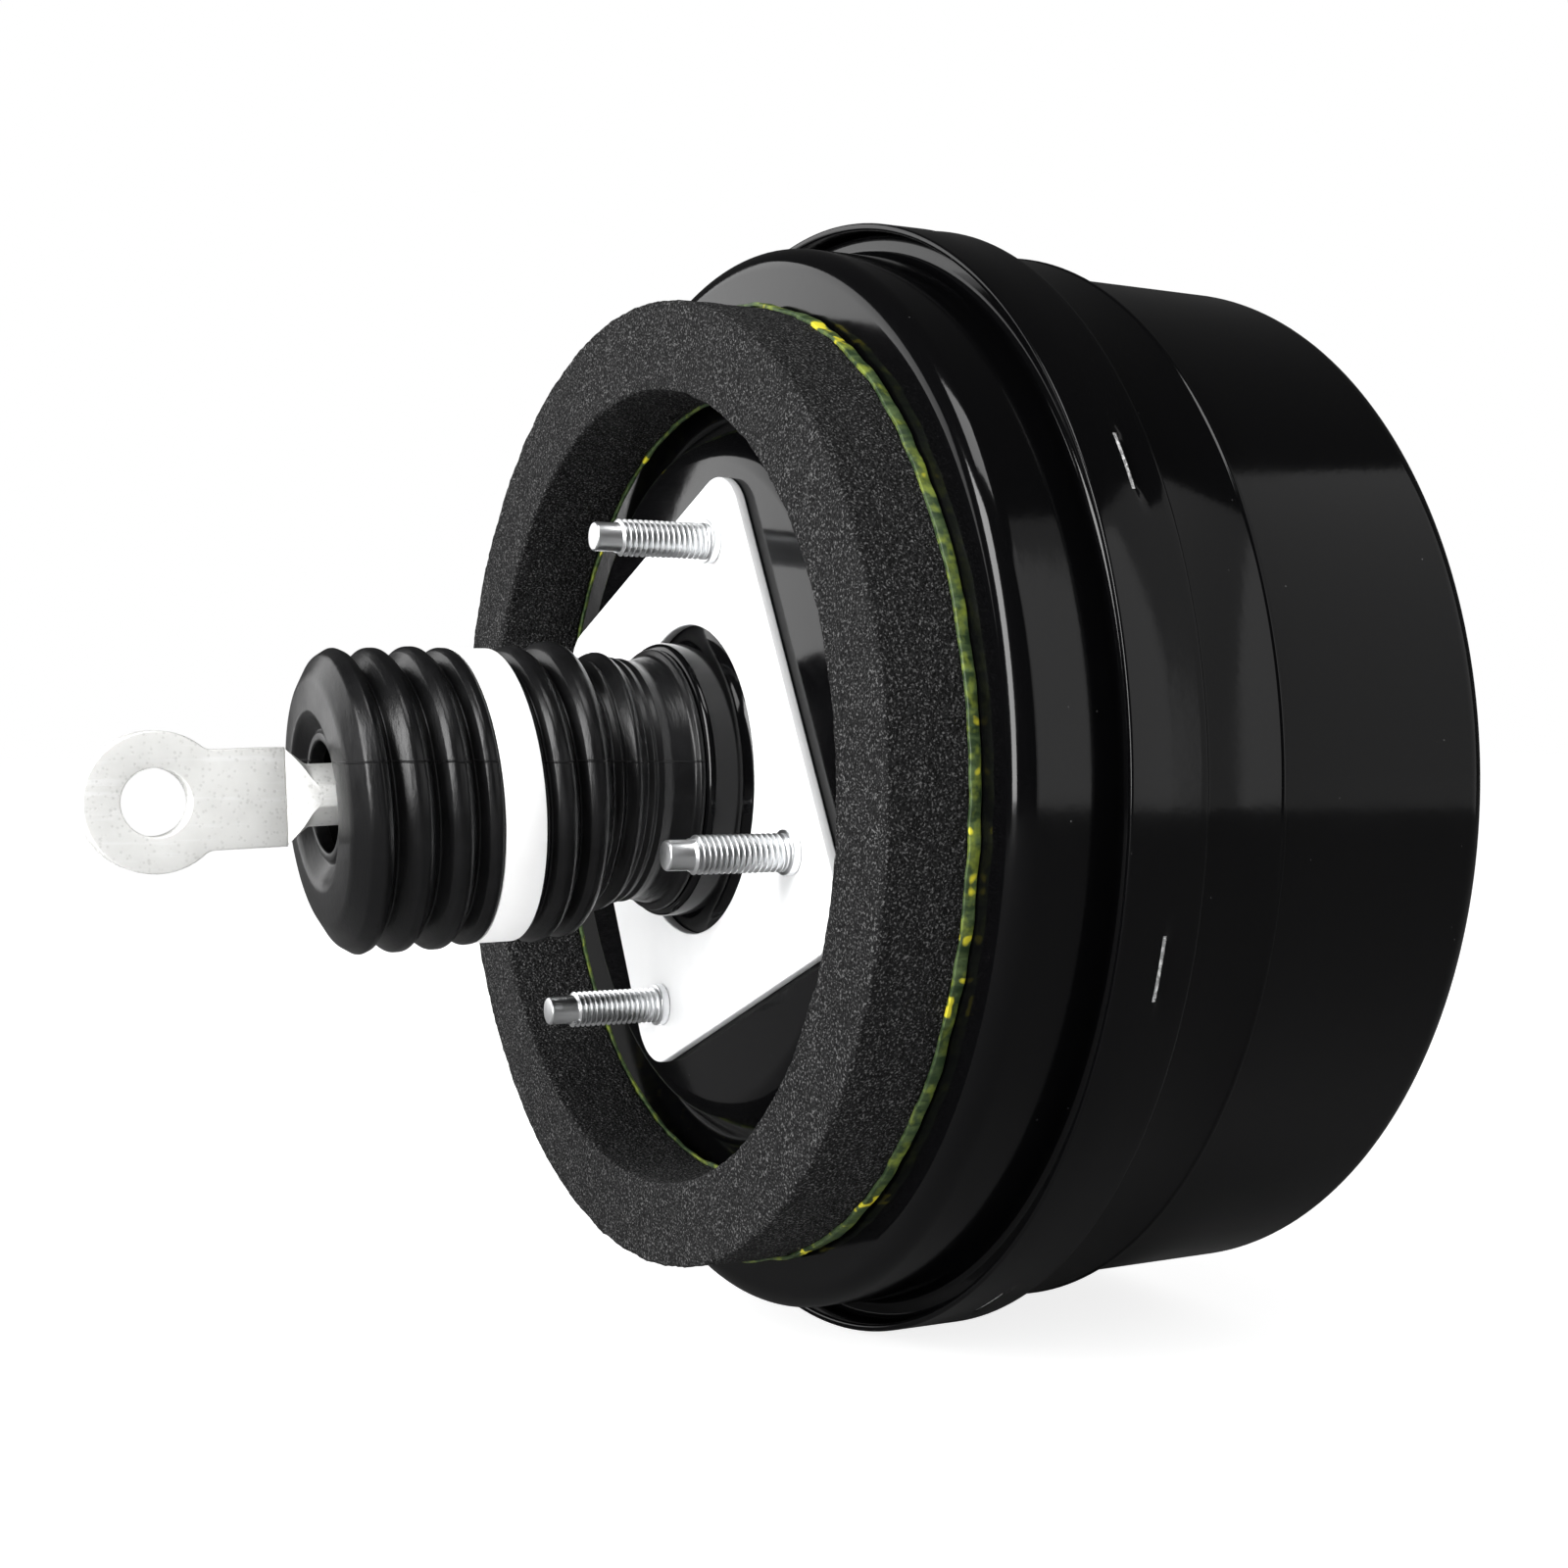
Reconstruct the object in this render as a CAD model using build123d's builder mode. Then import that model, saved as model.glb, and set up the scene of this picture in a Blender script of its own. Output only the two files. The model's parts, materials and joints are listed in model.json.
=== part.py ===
from build123d import *
import os
from math import cos, radians, sin

os.makedirs("parts", exist_ok=True)

# Tandem vacuum brake booster, seen in its place in the car: +Y points forward along the booster
# towards the master cylinder, -Y back to the pedal, +Z up. The origin is the centre of the
# firewall stud pattern on the pedal side of the mounting plate. All sizes are in millimetres.
# In every turned profile below, the first value of a point is its radius and the second its
# place along the booster's axis.

# Sheet steel and clearances
shell_wall = 1.6
seat_gap = 0.1          # round faces of pieces that are fixed to each other
soft_gap = 0.3          # round faces of soft pieces beside pieces that move past them
slide_gap = 0.06        # radial clearance of a sliding or turning fit
face_gap = 0.1          # end faces that rest on each other
valve_travel = 1.8      # travel of the valve plunger in the valve body
swing_droop = 1.9       # degrees that the push rod hangs below the axis, and the same above it

# Mounting plate and its studs
plate_thickness = 2.5
plate_corners = [(20.7, 69.0), (76.0, -29.3), (-22.7, -69.0), (-78.0, 30.5)]
plate_corner_radius = 12.0
stud_radius = 4.0
stud_circle_radius = 54.0
stud_first_angle = 75.0
stud_length = 28.0
stud_collar_radius = 4.8
stud_collar_height = 2.0
dog_point_radius = 3.1
dog_point_length = 4.8
stud_head_radius = 7.0
stud_head_height = 2.2

# Rear shell
spigot_radius = 25.7
spigot_end = -22.0
neck_radius = 30.4
neck_step = -8.2
gasket_seat = 12.0      # how far the gasket's seat lies ahead of the mounting plate's face
flange_place = 36.0
skirt_length = 11.2

# Front shell
band_radius = 125.0
band_start = 31.8
band_end = 49.2
band_step = 4.2         # how far the middle of the shell lies inside the rim band
middle_start = 51.5
joggle_place = 70.2
joggle_step = 2.7
front_taper = 0.6
front_face = 126.0
pad_height = 5.0        # master cylinder pad, proud of the front face
pad_radius = 58.0
pilot_radius = 19.05
pilot_depth = 16.0

# Lanced tabs that lock the two shells together
tab_count = 8
tab_first_angle = 29.5
tab_width = 13.0
tab_slot = 1.5
tab_place = 41.0
tab_length = 6.5
tab_dip = 2.3

# Foam gasket
foam_width = 18.5
foam_thickness = 23.0
liner_thickness = 1.6

# Valve body, plunger and input rod
tail_radius = 20.0
tail_bore_radius = 17.5
tail_end = -74.0
hub_radius = 36.0
hub_start = 11.0
hub_end = 78.0
hub_nose_radius = 34.0
plunger_radius = 8.44
ball_radius = 6.0
ball_place = -8.0
rod_radius = 6.5
rod_neck_radius = 4.0
output_rod_radius = 6.0
output_rod_tip = 137.0

# Eye of the input rod
eye_place = -117.0
eye_radius = 14.4
eye_bore_radius = 6.9
arm_width = 20.5
arm_thickness = 6.4
arm_start = -91.0
flat_start = -84.4

# Diaphragms
rubber = 1.8
diaphragm_plate_wall = 1.4
rear_plate_place = 16.4
front_plate_place = 73.0
partition_place = 65.5
partition_wall = 1.5

# Dust boot
boot_wall = 1.5
boot_peak_radius = 31.3
band_ring_radius = 31.6
band_ring_start = -51.6
band_ring_width = 7.1

# Check valve
check_valve_x = -62.0
check_valve_z = 62.0
check_valve_bore = 10.5
nipple_radius = 5.6
nipple_length = 24.0

# Joint with the master cylinder
mc_stud_spacing = 82.0
mc_stud_length = 22.0
mc_stud_hole_radius = 5.3

# Radii that follow from the rim band
rear_wall_radius = band_radius - 7.0
hub_face_radius = rear_wall_radius - 44.0
gasket_seat_radius = rear_wall_radius - 36.0
middle_radius = band_radius - band_step
front_radius = middle_radius - joggle_step
front_radius_end = front_radius - front_taper
foam_outer_radius = rear_wall_radius - 12.5
foam_inner_radius = foam_outer_radius - foam_width
diaphragm_plate_radius = front_radius - 13.1
pad_face = front_face + pad_height
axle = Axis.Y


def save(piece, label):
    """Name a finished piece and write it to its own file."""
    piece.part.label = label
    export_step(piece.part, f"parts/{label}.step")


def radial_plane(angle, distance, place):
    """Plane that looks outwards from the axis at an angle from +X, at a distance along Y."""
    outward = (cos(radians(angle)), 0, sin(radians(angle)))
    return Plane(
        origin=(distance * outward[0], place, distance * outward[2]),
        x_dir=(0, 1, 0),
        z_dir=outward,
    )


stud_angles = [stud_first_angle + 90 * i for i in range(4)]
stud_spots = [
    (stud_circle_radius * cos(radians(a)), stud_circle_radius * sin(radians(a)))
    for a in stud_angles
]
tab_angles = [tab_first_angle + 360 / tab_count * i for i in range(tab_count)]
# Faces the pedal: local x is +X, local y is +Z, and a negative extrusion goes forward
pedal_side = Plane(origin=(0, 0, 0), x_dir=(1, 0, 0), z_dir=(0, -1, 0))


def ring(inner, outer, start, end):
    """Section of a plain ring, drawn in the sketch that is open."""
    with Locations(((inner + outer) / 2, (start + end) / 2)):
        Rectangle(outer - inner, end - start)


def coil(radius, wire, start, end, turns, across=(0, 0)):
    """Coil spring between two places along Y, its wire just clear of both."""
    low = start + wire
    with BuildLine() as path:
        Helix(
            pitch=(end - wire - low) / turns,
            height=end - wire - low,
            radius=radius,
            center=(across[0], low, across[1]),
            direction=(0, 1, 0),
        )
    with BuildSketch(Plane(origin=path.line @ 0, z_dir=path.line % 0)) as section:
        Circle(wire)
    sweep(sections=section.sketch, path=path.line, is_frenet=True)


# Rear shell: pressed steel, with the stepped neck that carries the bearing, seal and dust boot
hub_face = plate_thickness + face_gap
skirt_radius = band_radius - shell_wall - 0.2
skirt_end = flange_place + skirt_length
neck_bore = neck_radius - shell_wall
neck_floor = neck_step + shell_wall
hub_face_inside = hub_face + shell_wall
stud_hole_radius = stud_radius + seat_gap
tab_root = tab_place + tab_slot + tab_length
tab_flat = (band_radius**2 - (tab_width / 2) ** 2) ** 0.5
window_margin = 0.3
window_start = tab_place + tab_slot - window_margin
window_end = tab_root + window_margin
with BuildPart() as rear_shell:
    with BuildSketch(Plane.XY):
        with BuildLine():
            FilletPolyline(
                (spigot_radius, spigot_end),
                (spigot_radius, neck_step),
                (neck_radius, neck_step),
                (neck_radius, hub_face),
                (hub_face_radius, hub_face),
                (gasket_seat_radius, gasket_seat),
                (rear_wall_radius, gasket_seat),
                (rear_wall_radius, flange_place),
                (skirt_radius, flange_place),
                (skirt_radius, skirt_end),
                radius=[0.8, 2.4, 4.0, 6.0, 5.0, 5.0, 2.0, 2.4],
            )
            offset(amount=shell_wall, side=Side.LEFT, closed=True)
        make_face()
    revolve(axis=axle)
    with BuildSketch(pedal_side):
        with Locations(*stud_spots):
            Circle(stud_hole_radius)
    extrude(amount=-gasket_seat, mode=Mode.SUBTRACT)
    window_place = (window_start + window_end) / 2
    with BuildSketch(*[radial_plane(a, skirt_radius - 3 * shell_wall, window_place) for a in tab_angles]):
        Rectangle(window_end - window_start, tab_width + 2 * window_margin)
    extrude(amount=5 * shell_wall, mode=Mode.SUBTRACT)
save(rear_shell, "rear_shell")

# Front shell: rim band, middle cylinder, joggle, front cylinder, front face and pilot pocket
pocket_floor = pad_face - pilot_depth
pad_foot_radius = pad_radius + 6
rod_hole_radius = output_rod_radius + 2.5
mc_stud_spots = [(-mc_stud_spacing / 2, 0), (mc_stud_spacing / 2, 0)]
with BuildPart() as front_shell:
    with BuildSketch(Plane.XY):
        with BuildLine():
            FilletPolyline(
                (band_radius, band_start),
                (band_radius, band_end),
                (middle_radius, middle_start),
                (middle_radius, joggle_place),
                (front_radius, joggle_place + 1.2),
                (front_radius_end, front_face),
                (pad_foot_radius, front_face),
                (pad_radius, pad_face),
                (pilot_radius, pad_face),
                (pilot_radius, pocket_floor),
                (rod_hole_radius, pocket_floor),
                radius=[2.6, 2.0, 2.0, 1.5, 6.0, 3.0, 3.0, 2.2, 1.0],
            )
            offset(amount=shell_wall, side=Side.LEFT, closed=True)
        make_face()
    revolve(axis=axle)
    with BuildSketch(pedal_side.offset(-pad_face)):
        with Locations(*mc_stud_spots):
            Circle(mc_stud_hole_radius)
        with Locations((check_valve_x, check_valve_z)):
            Circle(check_valve_bore)
    extrude(amount=pad_height + 3 * shell_wall, mode=Mode.SUBTRACT)
    slot_place = (tab_place + tab_root) / 2
    with BuildSketch(*[radial_plane(a, band_radius - 3 * shell_wall, slot_place) for a in tab_angles]):
        Rectangle(tab_root - tab_place, tab_width)
    extrude(amount=5 * shell_wall, mode=Mode.SUBTRACT)
    for angle in tab_angles:
        outward = (cos(radians(angle)), 0, sin(radians(angle)))
        across = (-outward[2], 0, outward[0])
        with BuildSketch(Plane(origin=(0, 0, 0), x_dir=outward, z_dir=across)):
            with BuildLine():
                Polyline(
                    (tab_flat, tab_root),
                    (tab_flat - tab_dip, (tab_place + tab_slot)),
                    (tab_flat - tab_dip - shell_wall, (tab_place + tab_slot)),
                    (tab_flat - shell_wall, tab_root),
                    close=True,
                )
            make_face()
        extrude(amount=tab_width / 2, both=True)
save(front_shell, "front_shell")

# Mounting plate: zinc-plated, rounded square, clamped on the pedal side by the studs
with BuildPart() as mounting_plate:
    with BuildSketch(pedal_side):
        with BuildLine():
            Polyline(*plate_corners, close=True)
        make_face()
        fillet(vertices(), radius=plate_corner_radius)
        Circle(neck_radius + 4.2, mode=Mode.SUBTRACT)
        with Locations(*stud_spots):
            Circle(stud_hole_radius, mode=Mode.SUBTRACT)
    extrude(amount=-plate_thickness)
save(mounting_plate, "mounting_plate")

# Four firewall studs: head inside the shell, collar on the plate, plain end for starting the nut
stud_head = hub_face_inside + face_gap
with BuildPart() as stud:
    with BuildSketch(Plane.XY):
        with BuildLine():
            Polyline(
                (0, -stud_length),
                (dog_point_radius - 0.5, -stud_length),
                (dog_point_radius, -stud_length + 0.5),
                (dog_point_radius, -stud_length + dog_point_length),
                (stud_radius, -stud_length + dog_point_length + 1.0),
                (stud_radius, -stud_collar_height),
                (stud_collar_radius, -stud_collar_height),
                (stud_collar_radius, -face_gap),
                (stud_radius, -face_gap),
                (stud_radius, stud_head),
                (stud_head_radius, stud_head),
                (stud_head_radius, stud_head + stud_head_height),
                (0, stud_head + stud_head_height),
                close=True,
            )
        make_face()
    revolve(axis=axle)
with BuildPart() as firewall_studs:
    with Locations(*[(x, 0, z) for x, z in stud_spots]):
        add(stud.part)
save(firewall_studs, "firewall_studs")

# Foam gasket that seals against the firewall, and its backing ring on the shell
liner_start = gasket_seat - face_gap - liner_thickness
with BuildPart() as gasket_liner:
    with BuildSketch(Plane.XY):
        ring(foam_inner_radius - 0.5, foam_outer_radius + 0.5, liner_start, gasket_seat - face_gap)
    revolve(axis=axle)
save(gasket_liner, "gasket_liner")
foam_front = liner_start - face_gap
with BuildPart() as foam_gasket:
    with BuildSketch(Plane.XY):
        ring(foam_inner_radius, foam_outer_radius, foam_front - foam_thickness, foam_front)
    revolve(axis=axle)
    fillet(foam_gasket.edges().group_by(Axis.Y)[0], radius=1.2)
save(foam_gasket, "foam_gasket")

# Seal and flanged bearing in the neck, round the tail of the valve body
seal_front = neck_floor + 3.2
bearing_front = hub_face_inside + face_gap + 0.8
with BuildPart() as rear_seal:
    with BuildSketch(Plane.XY):
        with BuildLine():
            Polyline(
                (tail_radius + slide_gap, neck_floor + face_gap),
                (neck_bore - seat_gap - 1, neck_floor + face_gap),
                (neck_bore - seat_gap, neck_floor + face_gap + 1),
                (neck_bore - seat_gap, seal_front),
                (tail_radius + 4, seal_front),
                (tail_radius + 2, neck_floor + 1.6),
                (tail_radius + slide_gap, neck_floor + 1.6),
                close=True,
            )
        make_face()
    revolve(axis=axle)
save(rear_seal, "rear_seal")
with BuildPart() as rear_bearing:
    with BuildSketch(Plane.XY):
        ring(tail_radius + slide_gap, neck_bore - seat_gap, seal_front + face_gap, bearing_front)
        ring(tail_radius + 4, hub_radius + 2, hub_face_inside + face_gap, bearing_front)
    revolve(axis=axle)
save(rear_bearing, "rear_bearing")

# Wall between the two chambers, with the seal that the hub of the valve body slides in
bead_outer_radius = skirt_radius - shell_wall - 0.8
bead_width = 5.2
bead_start = flange_place + shell_wall + 0.2
bead_end = bead_start + 5.4
partition_radius = middle_radius - shell_wall - 0.2
collar_bore = hub_radius + 6.5
with BuildPart() as centre_plate:
    with BuildSketch(Plane.XY):
        with BuildLine():
            FilletPolyline(
                (bead_outer_radius, bead_end + face_gap + partition_wall),
                (partition_radius, bead_end + face_gap + partition_wall),
                (partition_radius, partition_place),
                (collar_bore, partition_place),
                (collar_bore, partition_place - 9.5),
                radius=[0.6, 2.5, 2.0],
            )
            offset(amount=partition_wall, side=Side.LEFT, closed=True)
        make_face()
    revolve(axis=axle)
save(centre_plate, "centre_plate")
with BuildPart() as centre_seal:
    with BuildSketch(Plane.XY):
        ring(hub_radius + slide_gap, collar_bore - seat_gap, partition_place - 8.5, partition_place - 0.5)
    revolve(axis=axle)
save(centre_seal, "centre_seal")

# Valve body: hub, tail tube, bore of the plunger, seat of the valve and two vacuum passages
hub_floor = 20.0
hub_shoulder = 14.3
nose_shoulder = 70.9
bore_radius = plunger_radius + slide_gap
seat_place = -15.0
tail_floor = -12.5
bore_start = seat_place + 4.0
head_radius = 12.4
head_bore_start = 40.0
key_thickness = 3.0
key_width = 14.0
key_start = bearing_front + 0.2
passage_radius = 2.0
passage_place = 14.8
with BuildPart() as valve_body:
    with BuildSketch(Plane.XY):
        with BuildLine():
            Polyline(
                (tail_bore_radius, tail_end),
                (tail_radius, tail_end),
                (tail_radius, hub_start),
                (hub_radius + 2.5, hub_start),
                (hub_radius + 2.5, hub_shoulder),
                (hub_radius, hub_shoulder),
                (hub_radius, nose_shoulder),
                (hub_nose_radius, nose_shoulder),
                (hub_nose_radius, hub_end),
                (hub_nose_radius - 3, hub_end),
                (hub_nose_radius - 3, hub_floor),
                (head_radius + 4.6, hub_floor),
                (head_radius + 4.6, head_bore_start + 18),
                (head_radius + seat_gap, head_bore_start + 18),
                (head_radius + seat_gap, head_bore_start),
                (bore_radius, head_bore_start),
                (bore_radius, bore_start),
                (bore_radius + 3, bore_start),
                (bore_radius + 3, seat_place),
                (bore_radius + 4.5, seat_place),
                (bore_radius + 4.5, tail_floor),
                (tail_bore_radius, tail_floor),
                close=True,
            )
        make_face()
    revolve(axis=axle)
    with BuildSketch(pedal_side.offset(-key_start + face_gap)):
        Rectangle(4 * tail_radius, key_width + 0.2)
    extrude(amount=-key_thickness - 2 * face_gap, mode=Mode.SUBTRACT)
    with BuildSketch(pedal_side.offset(-tail_floor)):
        with Locations((0, passage_place), (0, -passage_place)):
            Circle(passage_radius)
    extrude(amount=tail_floor - hub_floor, mode=Mode.SUBTRACT)
save(valve_body, "valve_body")

# Key across the valve body: it stops the piston at the bearing and lets the plunger travel
groove_radius = 4.5
with BuildPart() as stop_key:
    with BuildSketch(pedal_side.offset(-key_start)):
        Rectangle(2 * tail_radius + 8, key_width)
        Circle(groove_radius + 0.1, mode=Mode.SUBTRACT)
        with Locations((-tail_radius, 0)):
            Rectangle(2 * tail_radius, 2 * groove_radius + 0.2, mode=Mode.SUBTRACT)
    extrude(amount=-key_thickness)
save(stop_key, "stop_key")

# Valve plunger: air valve seat at the back, socket for the rod's ball, groove for the key
socket_radius = ball_radius + slide_gap
socket_mouth = 5.2
socket_edge = ball_place - (socket_radius**2 - socket_mouth**2) ** 0.5
plunger_back = seat_place - 0.8
groove_front = key_start + key_thickness + face_gap
groove_back = key_start - valve_travel - 0.3
plunger_front = head_bore_start - 2.0
with BuildPart() as valve_plunger:
    with BuildSketch(Plane.XY):
        with BuildLine():
            socket_top = (0, ball_place + socket_radius)
            ThreePointArc((socket_mouth, socket_edge), (socket_radius, ball_place), socket_top)
            Polyline(
                socket_top,
                (0, plunger_front),
                (ball_radius, plunger_front),
                (ball_radius, plunger_front - 2),
                (plunger_radius, plunger_front - 2),
                (plunger_radius, groove_front),
                (groove_radius, groove_front),
                (groove_radius, groove_back),
                (plunger_radius, groove_back),
                (plunger_radius, bore_start - valve_travel),
                (plunger_radius + 1.6, bore_start - valve_travel),
                (plunger_radius + 1.6, plunger_back),
                (socket_mouth + 1.2, plunger_back),
                (socket_mouth, socket_edge),
            )
        make_face()
    revolve(axis=axle)
save(valve_plunger, "valve_plunger")

# Reaction disc, output rod and its adjusting tip
disc_start = head_bore_start + face_gap
disc_end = disc_start + 5.0
rod_end = pad_face - 4.0
tip_stem_radius = 3.9
with BuildPart() as reaction_disc:
    with BuildSketch(Plane.XY):
        ring(0, head_radius, disc_start, disc_end)
    revolve(axis=axle)
save(reaction_disc, "reaction_disc")
with BuildPart() as output_rod:
    with BuildSketch(Plane.XY):
        with BuildLine():
            Polyline(
                (0, disc_end + face_gap),
                (head_radius, disc_end + face_gap),
                (head_radius, disc_end + 4.7),
                (output_rod_radius + 3, disc_end + 4.7),
                (output_rod_radius, disc_end + 12),
                (output_rod_radius, rod_end),
                (tip_stem_radius + seat_gap, rod_end),
                (tip_stem_radius + seat_gap, rod_end - 12),
                (0, rod_end - 12),
                close=True,
            )
        make_face()
    revolve(axis=axle)
save(output_rod, "output_rod")
with BuildPart() as output_rod_adjuster:
    with BuildSketch(Plane.XY):
        with BuildLine():
            tip = (0, output_rod_tip)
            tip_edge = (output_rod_radius - 1, output_rod_tip - 1.2)
            Polyline(
                tip,
                (0, rod_end - 11),
                (tip_stem_radius, rod_end - 11),
                (tip_stem_radius, rod_end + face_gap),
                (output_rod_radius - 0.2, rod_end + face_gap),
                (output_rod_radius - 0.2, output_rod_tip - 3),
                tip_edge,
            )
            TangentArc(tip, tip_edge, tangent=(1, 0))
        make_face()
    revolve(axis=axle)
save(output_rod_adjuster, "output_rod_adjuster")

# Seal of the output rod, ring that stiffens the front face, and the master cylinder's studs
with BuildPart() as front_seal:
    with BuildSketch(Plane.XY):
        ring(output_rod_radius + slide_gap, pilot_radius - 0.15, pocket_floor + face_gap, pocket_floor + 6)
    revolve(axis=axle)
    chamfer(front_seal.edges().group_by(Axis.Y)[0].sort_by(SortBy.RADIUS)[-1], length=1.0)
save(front_seal, "front_seal")
ring_front = pad_face - shell_wall - face_gap
ring_thickness = 2.4
with BuildPart() as front_reinforcement:
    with BuildSketch(pedal_side.offset(-ring_front + ring_thickness)):
        Circle(pad_radius - 6)
        Circle(pilot_radius + shell_wall + 0.3, mode=Mode.SUBTRACT)
        with Locations(*mc_stud_spots):
            Circle(mc_stud_hole_radius, mode=Mode.SUBTRACT)
    extrude(amount=-ring_thickness)
save(front_reinforcement, "front_reinforcement")
mc_head = ring_front - ring_thickness - face_gap
with BuildPart() as mc_stud:
    with BuildSketch(Plane.XY):
        with BuildLine():
            Polyline(
                (0, mc_head - 3.0),
                (stud_head_radius, mc_head - 3.0),
                (stud_head_radius, mc_head),
                (stud_radius, mc_head),
                (stud_radius, pad_face + mc_stud_length - 1),
                (stud_radius - 1, pad_face + mc_stud_length),
                (0, pad_face + mc_stud_length),
                close=True,
            )
        make_face()
    revolve(axis=axle)
with BuildPart() as master_cylinder_studs:
    with Locations(*[(x, 0, z) for x, z in mc_stud_spots]):
        add(mc_stud.part)
save(master_cylinder_studs, "master_cylinder_studs")

# Dished plates of the two diaphragms and the ring that holds the front one on the hub
with BuildPart() as rear_diaphragm_plate:
    with BuildSketch(Plane.XY):
        with BuildLine():
            FilletPolyline(
                (hub_radius + seat_gap, rear_plate_place),
                (diaphragm_plate_radius, rear_plate_place),
                (diaphragm_plate_radius, rear_plate_place + 8.6),
                radius=3.0,
            )
            offset(amount=diaphragm_plate_wall, side=Side.LEFT, closed=True)
        make_face()
    revolve(axis=axle)
save(rear_diaphragm_plate, "rear_diaphragm_plate")
with BuildPart() as front_diaphragm_plate:
    with BuildSketch(Plane.XY):
        with BuildLine():
            FilletPolyline(
                (hub_nose_radius + seat_gap, front_plate_place),
                (diaphragm_plate_radius, front_plate_place),
                (diaphragm_plate_radius, front_plate_place + 9),
                radius=3.0,
            )
            offset(amount=diaphragm_plate_wall, side=Side.LEFT, closed=True)
        make_face()
    revolve(axis=axle)
save(front_diaphragm_plate, "front_diaphragm_plate")
retainer_start = front_plate_place + diaphragm_plate_wall + face_gap
with BuildPart() as plate_retainer:
    with BuildSketch(Plane.XY):
        ring(hub_nose_radius + seat_gap, hub_nose_radius + 6, retainer_start, retainer_start + 2.4)
    revolve(axis=axle)
save(plate_retainer, "plate_retainer")

# Rolling diaphragms: disc against the plate, fold beside the shell, bead clamped at the rim
roll_radius = diaphragm_plate_radius + 2.5
with BuildPart() as rear_diaphragm:
    with BuildSketch(Plane.XY):
        with BuildLine():
            FilletPolyline(
                (hub_radius + seat_gap, rear_plate_place - 0.2 - rubber),
                (roll_radius, rear_plate_place - 0.2 - rubber),
                (rear_wall_radius - 2.4, bead_start - 4.8),
                (rear_wall_radius - 2.4, bead_start + 1),
                (bead_outer_radius - 2, bead_start + 1),
                radius=[4.0, 6.0, 0.5],
            )
            offset(amount=rubber, side=Side.LEFT, closed=True)
        make_face()
        with Locations((bead_outer_radius - bead_width / 2, (bead_start + bead_end) / 2)):
            RectangleRounded(bead_width, bead_end - bead_start, 1.2)
    revolve(axis=axle)
save(rear_diaphragm, "rear_diaphragm")
front_bead_start = partition_place + face_gap
front_bead_outer = middle_radius - shell_wall - 0.3
fold_radius = front_radius - shell_wall - 2.2
fold_front = front_plate_place + 11.5
with BuildPart() as front_diaphragm:
    with BuildSketch(Plane.XY):
        with BuildLine():
            FilletPolyline(
                (hub_nose_radius + seat_gap, nose_shoulder + face_gap),
                (roll_radius, nose_shoulder + face_gap),
                (roll_radius, fold_front),
                (fold_radius - rubber, fold_front),
                (fold_radius - rubber, front_bead_start + 1),
                radius=[3.0, 2.4, 2.4],
            )
            offset(amount=rubber, side=Side.LEFT, closed=True)
        make_face()
        with Locations(((fold_radius - 3 + front_bead_outer) / 2, front_bead_start + 1.7)):
            RectangleRounded(front_bead_outer - fold_radius + 3, 3.4, 1.0)
    revolve(axis=axle)
save(front_diaphragm, "front_diaphragm")

# Main return spring inside the hub, round the pilot pocket
with BuildPart() as return_spring:
    coil(24.0, 2.0, hub_floor + face_gap, ring_front - ring_thickness - face_gap, 5)
save(return_spring, "return_spring")

# Poppet valve with its retainer and spring
poppet_face = plunger_back - face_gap
poppet_bead = -34.0
flange_front = poppet_bead - 0.2
with BuildPart() as poppet_valve:
    with BuildSketch(Plane.XY):
        with BuildLine():
            Polyline(
                (8.0, poppet_face),
                (15.0, poppet_face),
                (15.0, poppet_face - 1.9),
                (14.4, poppet_face - 2.6),
                (14.4, poppet_bead + 4.2),
                (tail_bore_radius - seat_gap, poppet_bead + 3.2),
                (tail_bore_radius - seat_gap, poppet_bead),
                (14.9, poppet_bead),
                (13.0, poppet_bead + 3.4),
                (13.0, poppet_face - 1.9),
                (8.0, poppet_face - 1.9),
                close=True,
            )
        make_face()
    revolve(axis=axle)
save(poppet_valve, "poppet_valve")
with BuildPart() as poppet_retainer:
    with BuildSketch(Plane.XY):
        ring(15.5, tail_bore_radius - seat_gap, flange_front - 5.8, flange_front)
        ring(10.5, tail_bore_radius - seat_gap, flange_front - 1.8, flange_front)
    revolve(axis=axle)
save(poppet_retainer, "poppet_retainer")
with BuildPart() as poppet_spring:
    coil(11.5, 0.6, flange_front + face_gap, poppet_face - 1.9 - face_gap, 4)
save(poppet_spring, "poppet_spring")

# Input rod: ball, necked shank, sloping flats, flattened arm and eye, forged in one piece.
# It is drawn hanging at its droop, along a line from the centre of the ball.
droop = radians(swing_droop)
ball = (0, ball_place, 0)
along = (0, -cos(droop), -sin(droop))
rod_axis = Axis(ball, along)
rod_profile = Plane(origin=ball, x_dir=(1, 0, 0), z_dir=(0, sin(droop), -cos(droop)))
arm_outline = Plane(origin=ball, x_dir=along, z_dir=(-1, 0, 0))
arm_side = Plane(origin=ball, x_dir=along, z_dir=(0, sin(droop), -cos(droop)))
eye_at = (ball_place - eye_place) / cos(droop)
arm_at = ball_place - arm_start
flat_at = ball_place - flat_start
seat_at = 40.0
flat_slope = (rod_radius - arm_thickness / 2) / (arm_at - flat_at)
half_width = arm_width / 2
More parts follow.
